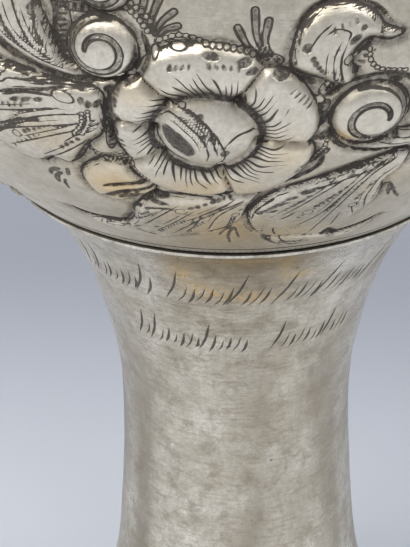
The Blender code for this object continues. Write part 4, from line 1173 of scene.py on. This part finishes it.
def worn_group():
    """Tarnish clouds, smudges, specks, scratches and small dents, shared by both pieces of silver."""
    group = bpy.data.node_groups.new("worn silver", "ShaderNodeTree")
    for name in ("Cloud size", "Scratch size"):
        group.interface.new_socket(name, in_out="INPUT", socket_type="NodeSocketFloat")
    for name in ("Tarnish", "Smudge", "Speckle", "Scratches", "Dents"):
        group.interface.new_socket(name, in_out="OUTPUT", socket_type="NodeSocketFloat")
    sizes = add_node(group, "NodeGroupInput").outputs
    outgoing = add_node(group, "NodeGroupOutput").inputs
    place = add_node(group, "ShaderNodeTexCoord").outputs["Object"]
    stretched = add_node(group, "ShaderNodeMapping", Scale=(1.0, 1.0, 7.0), Rotation=(0.3, 0.25, 0))
    group.links.new(place, stretched.inputs["Vector"])
    clouds = noise(group, place, sizes["Cloud size"], Detail=7, Roughness=0.68)
    smears = noise(group, place, 340, Detail=6, Roughness=0.7, Distortion=0.4)
    specks = noise(group, place, 1500, Detail=4, Roughness=0.75)
    scratches = noise(group, stretched.outputs["Vector"], sizes["Scratch size"], Detail=5, Roughness=0.75)
    for name, value in (("Tarnish", between(group, clouds, 0.36, 0.64)),
                        ("Smudge", between(group, smears, 0.48, 0.68)),
                        ("Speckle", between(group, specks, 0.3, 0.7)), ("Scratches", scratches),
                        ("Dents", noise(group, place, 330, Detail=2, Roughness=0.5))):
        group.links.new(value, outgoing[name])
    return group


def mask(tree, name):
    """A value stored on the piece."""
    return add_node(tree, "ShaderNodeAttribute", attribute_name=name).outputs["Fac"]


def fine_lines(tree):
    """Black where the stored offset from a fine line is less than half the line's width."""
    across = reckoned(tree, "ABSOLUTE", mask(tree, "offset"))
    inside = between(tree, reckoned(tree, "SUBTRACT", mask(tree, "thin"), across), 0, 0.06)
    return reckoned(tree, "MULTIPLY", inside, between(tree, mask(tree, "near"), 0.5, 0.58))


def wide_cuts(tree):
    """Black inside the wide cuts."""
    return between(tree, mask(tree, "cuts"), 0.5 - 0.035 / EDGE_REACH, 0.5 + 0.035 / EDGE_REACH)


def layered(tree, base, layers):
    """A colour with others laid over it in turn, each as far as a mask times a strength says."""
    for amount, strength, colour in layers:
        base = mixed(tree, reckoned(tree, "MULTIPLY", amount, strength), base, colour)
    return base


def silver(name, group, cloud_size, scratch_size):
    """A worn silver: its material, node tree, shader and wear."""
    material = bpy.data.materials.new(name)
    material.use_nodes = True
    tree = material.node_tree
    worn = add_node(tree, "ShaderNodeGroup", node_tree=group)
    worn.inputs["Cloud size"].default_value = cloud_size
    worn.inputs["Scratch size"].default_value = scratch_size
    return material, tree, tree.nodes["Principled BSDF"], worn.outputs


def finish_silver(tree, shader, worn, base, black, roughness, bumps):
    """Sets colour, metal, roughness and fine relief of a silver from its masks."""
    rough = reckoned(tree, "MULTIPLY_ADD", worn["Tarnish"], 0.12, roughness)
    normal = None
    for height, strength, reach in bumps:
        bump = add_node(tree, "ShaderNodeBump", Strength=strength, Distance=reach)
        tree.links.new(height, bump.inputs["Height"])
        if normal:
            tree.links.new(normal, bump.inputs["Normal"])
        normal = bump.outputs["Normal"]
    for name, value in (("Base Color", mixed(tree, black, base, BLACK)),
                        ("Metallic", reckoned(tree, "MULTIPLY_ADD", black, -0.8, 1.0, clamp=True)),
                        ("Roughness", reckoned(tree, "MULTIPLY_ADD", black, 0.4, rough, clamp=True)),
                        ("Normal", normal)):
        tree.links.new(value, shader.inputs[name])


def chased_silver(group):
    """Silver that is bright on the raised forms, and black in the cuts and on the ground beside the forms,
    where the black is partly painted shadow.
    """
    material, tree, shader, worn = silver("chased silver", group, 130, 420)
    grain = between(tree, worn["Speckle"], 0.35, 0.65)
    base = layered(tree, mixed(tree, worn["Tarnish"], SILVER_LIGHT, SILVER_DULL), (
        (mask(tree, "proud"), 0.5, SILVER_RUBBED),
        (worn["Speckle"], 0.35, SILVER_STAINED),
        (worn["Smudge"], 0.3, SILVER_STAINED),
        # Golden toning, partly painted reflection
        (mask(tree, "golden_tone_and_glint"), 0.8, GOLDEN_TONE_AND_GLINT),
        (mask(tree, "sunk"), 0.5, SILVER_STAINED),
        # Black oxide in the grooves, and painted shadow beside the raised forms
        (mask(tree, "soot_and_shadow"), reckoned(tree, "MULTIPLY_ADD", grain, 0.5, 0.5), SOOT_AND_SHADOW),
    ))
    cut = reckoned(tree, "MULTIPLY", wide_cuts(tree), reckoned(tree, "MULTIPLY_ADD", grain, 0.3, 0.7))
    phase = reckoned(tree, "SUBTRACT", reckoned(tree, "FRACT", mask(tree, "ray")), 0.5)
    phase = reckoned(tree, "MULTIPLY", reckoned(tree, "ABSOLUTE", phase), 0.87)
    ray = between(tree, reckoned(tree, "SUBTRACT", mask(tree, "ray_width"), phase), 0, 0.07)
    ray = reckoned(tree, "MAXIMUM", ray, fine_lines(tree))
    black = reckoned(tree, "MAXIMUM", cut, reckoned(tree, "MAXIMUM", ray, mask(tree, "seam")))
    dotted = reckoned(tree, "MULTIPLY", mask(tree, "matt"), reckoned(tree, "SUBTRACT", 1.0, grain))
    lines = reckoned(tree, "SUBTRACT", 1.0, black)
    black = reckoned(tree, "MAXIMUM", reckoned(tree, "MULTIPLY", black, 0.93), dotted)
    finish_silver(tree, shader, worn, base, black, 0.37, (
        (worn["Dents"], 0.3, 0.0006), (worn["Scratches"], 0.2, 0.0004), (lines, 0.9, 0.00022)))
    return material


def plain_silver(group):
    """Smooth silver with tarnish clouds and streaks, painted dark reflection bands, brown reflection and gold
    glints, fine scratches and black in the engraved strokes.
    """
    material, tree, shader, worn = silver("engraved silver", group, 95, 260)
    base = layered(tree, mixed(tree, worn["Tarnish"], SILVER_RUBBED, SILVER_DULL), (
        (worn["Speckle"], 0.5, SILVER_STAINED),
        (worn["Smudge"], 0.75, SILVER_STAINED),
        (between(tree, worn["Scratches"], 0.5, 0.7), 0.6, SILVER_STAINED),
        # Tarnish streaks, partly painted dark reflection bands
        (mask(tree, "streak_and_reflection"), 0.65, SILVER_STAINED),
        # Painted brown reflection of the bowl
        (mask(tree, "brown_reflection"), 0.3, REFLECTED_BROWN),
        # Painted gold glints
        (mask(tree, "golden_tone_and_glint"), between(tree, worn["Speckle"], 0.3, 0.6), GOLDEN_TONE_AND_GLINT),
    ))
    cut = reckoned(tree, "MAXIMUM", wide_cuts(tree), fine_lines(tree))
    lines = reckoned(tree, "SUBTRACT", 1.0, cut)
    black = reckoned(tree, "MAXIMUM", reckoned(tree, "MULTIPLY", cut, 0.86), mask(tree, "seam"))
    finish_silver(tree, shader, worn, base, black, 0.24, (
        (worn["Dents"], 0.2, 0.0006), (worn["Scratches"], 0.3, 0.0004), (lines, 0.9, 0.0002)))
    return material


def dress(piece, material, node):
    """Gives a finished piece its silver, its shading and its place in the cup."""
    piece.data.materials.clear()
    piece.data.materials.append(material)
    bpy.ops.object.select_all(action="DESELECT")
    piece.select_set(True)
    bpy.context.view_layer.objects.active = piece
    bpy.ops.object.shade_smooth_by_angle(angle=math.radians(50))
    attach(piece, "root")
    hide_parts(node)


def axes(tree, kind):
    """The three axes of a texture coordinate."""
    split = add_node(tree, "ShaderNodeSeparateXYZ")
    tree.links.new(add_node(tree, "ShaderNodeTexCoord").outputs[kind], split.inputs["Vector"])
    return split.outputs


def set_studio():
    """A pale paper floor with painted shade that darkens it gently behind the cup, soft lights and a pale
    room.
    """
    bpy.ops.object.select_all(action="DESELECT")
    bpy.ops.mesh.primitive_plane_add(size=4, location=(0, 0, 0))
    floor = bpy.context.object
    floor.name = "floor"
    paper = bpy.data.materials.new("pale paper")
    paper.use_nodes = True
    tree = paper.node_tree
    place = axes(tree, "Object")
    # Painted shade: the floor's colour darkens towards the back, a little slanted, in place of light falling
    # off
    back = reckoned(tree, "MULTIPLY_ADD", place["X"], BACKDROP_SLANT, place["Y"])
    behind = between(tree, back, *BACKDROP_DARKENS, "SMOOTHSTEP")
    shader = tree.nodes["Principled BSDF"].inputs
    tree.links.new(mixed(tree, behind, PAPER_FRONT, PAPER_IN_PAINTED_SHADE), shader["Base Color"])
    shader["Roughness"].default_value = 0.85
    shader["Specular IOR Level"].default_value = 0.2
    floor.data.materials.append(paper)
    world = bpy.data.worlds.new("room")
    bpy.context.scene.world = world
    world.use_nodes = True
    tree = world.node_tree
    room = mixed(tree, between(tree, axes(tree, "Generated")["Z"], -0.1, 0.9), ROOM_LOW, ROOM_HIGH)
    tree.links.new(room, tree.nodes["Background"].inputs["Color"])
    tree.nodes["Background"].inputs["Strength"].default_value = ROOM_STRENGTH
    for name, place, aim, size, power, colour in LIGHTS:
        light = bpy.data.objects.new(name, bpy.data.lights.new(name, "AREA"))
        light.data.size = size
        light.data.energy = power
        light.data.color = colour
        light.location = place
        aim_at(light, aim)
        bpy.context.scene.collection.objects.link(light)
    bpy.context.scene.view_settings.view_transform = "Standard"


def aim_at(thing, aim):
    """Turns a light or camera towards a point."""
    direction = Vector(aim) - Vector(thing.location)
    thing.rotation_euler = direction.to_track_quat("-Z", "Y").to_euler()


def set_camera():
    """The photograph's view: close, and looking down at 30 degrees."""
    camera = bpy.data.objects.new("camera", bpy.data.cameras.new("camera"))
    camera.data.sensor_width = SENSOR_WIDTH
    camera.data.lens = CAMERA_LENS
    camera.data.clip_start = 0.01
    camera.location = CAMERA_PLACE
    aim_at(camera, CAMERA_AIM)
    camera.rotation_euler.rotate_axis("Z", math.radians(CAMERA_ROLL))
    bpy.context.scene.collection.objects.link(camera)
    bpy.context.scene.camera = camera


set_camera()
group = worn_group()
bowl = make_bowl(drawn_band())
dress(bowl, chased_silver(group), "bowl")
foot = make_foot()
dress(foot, plain_silver(group), "foot")
set_studio()
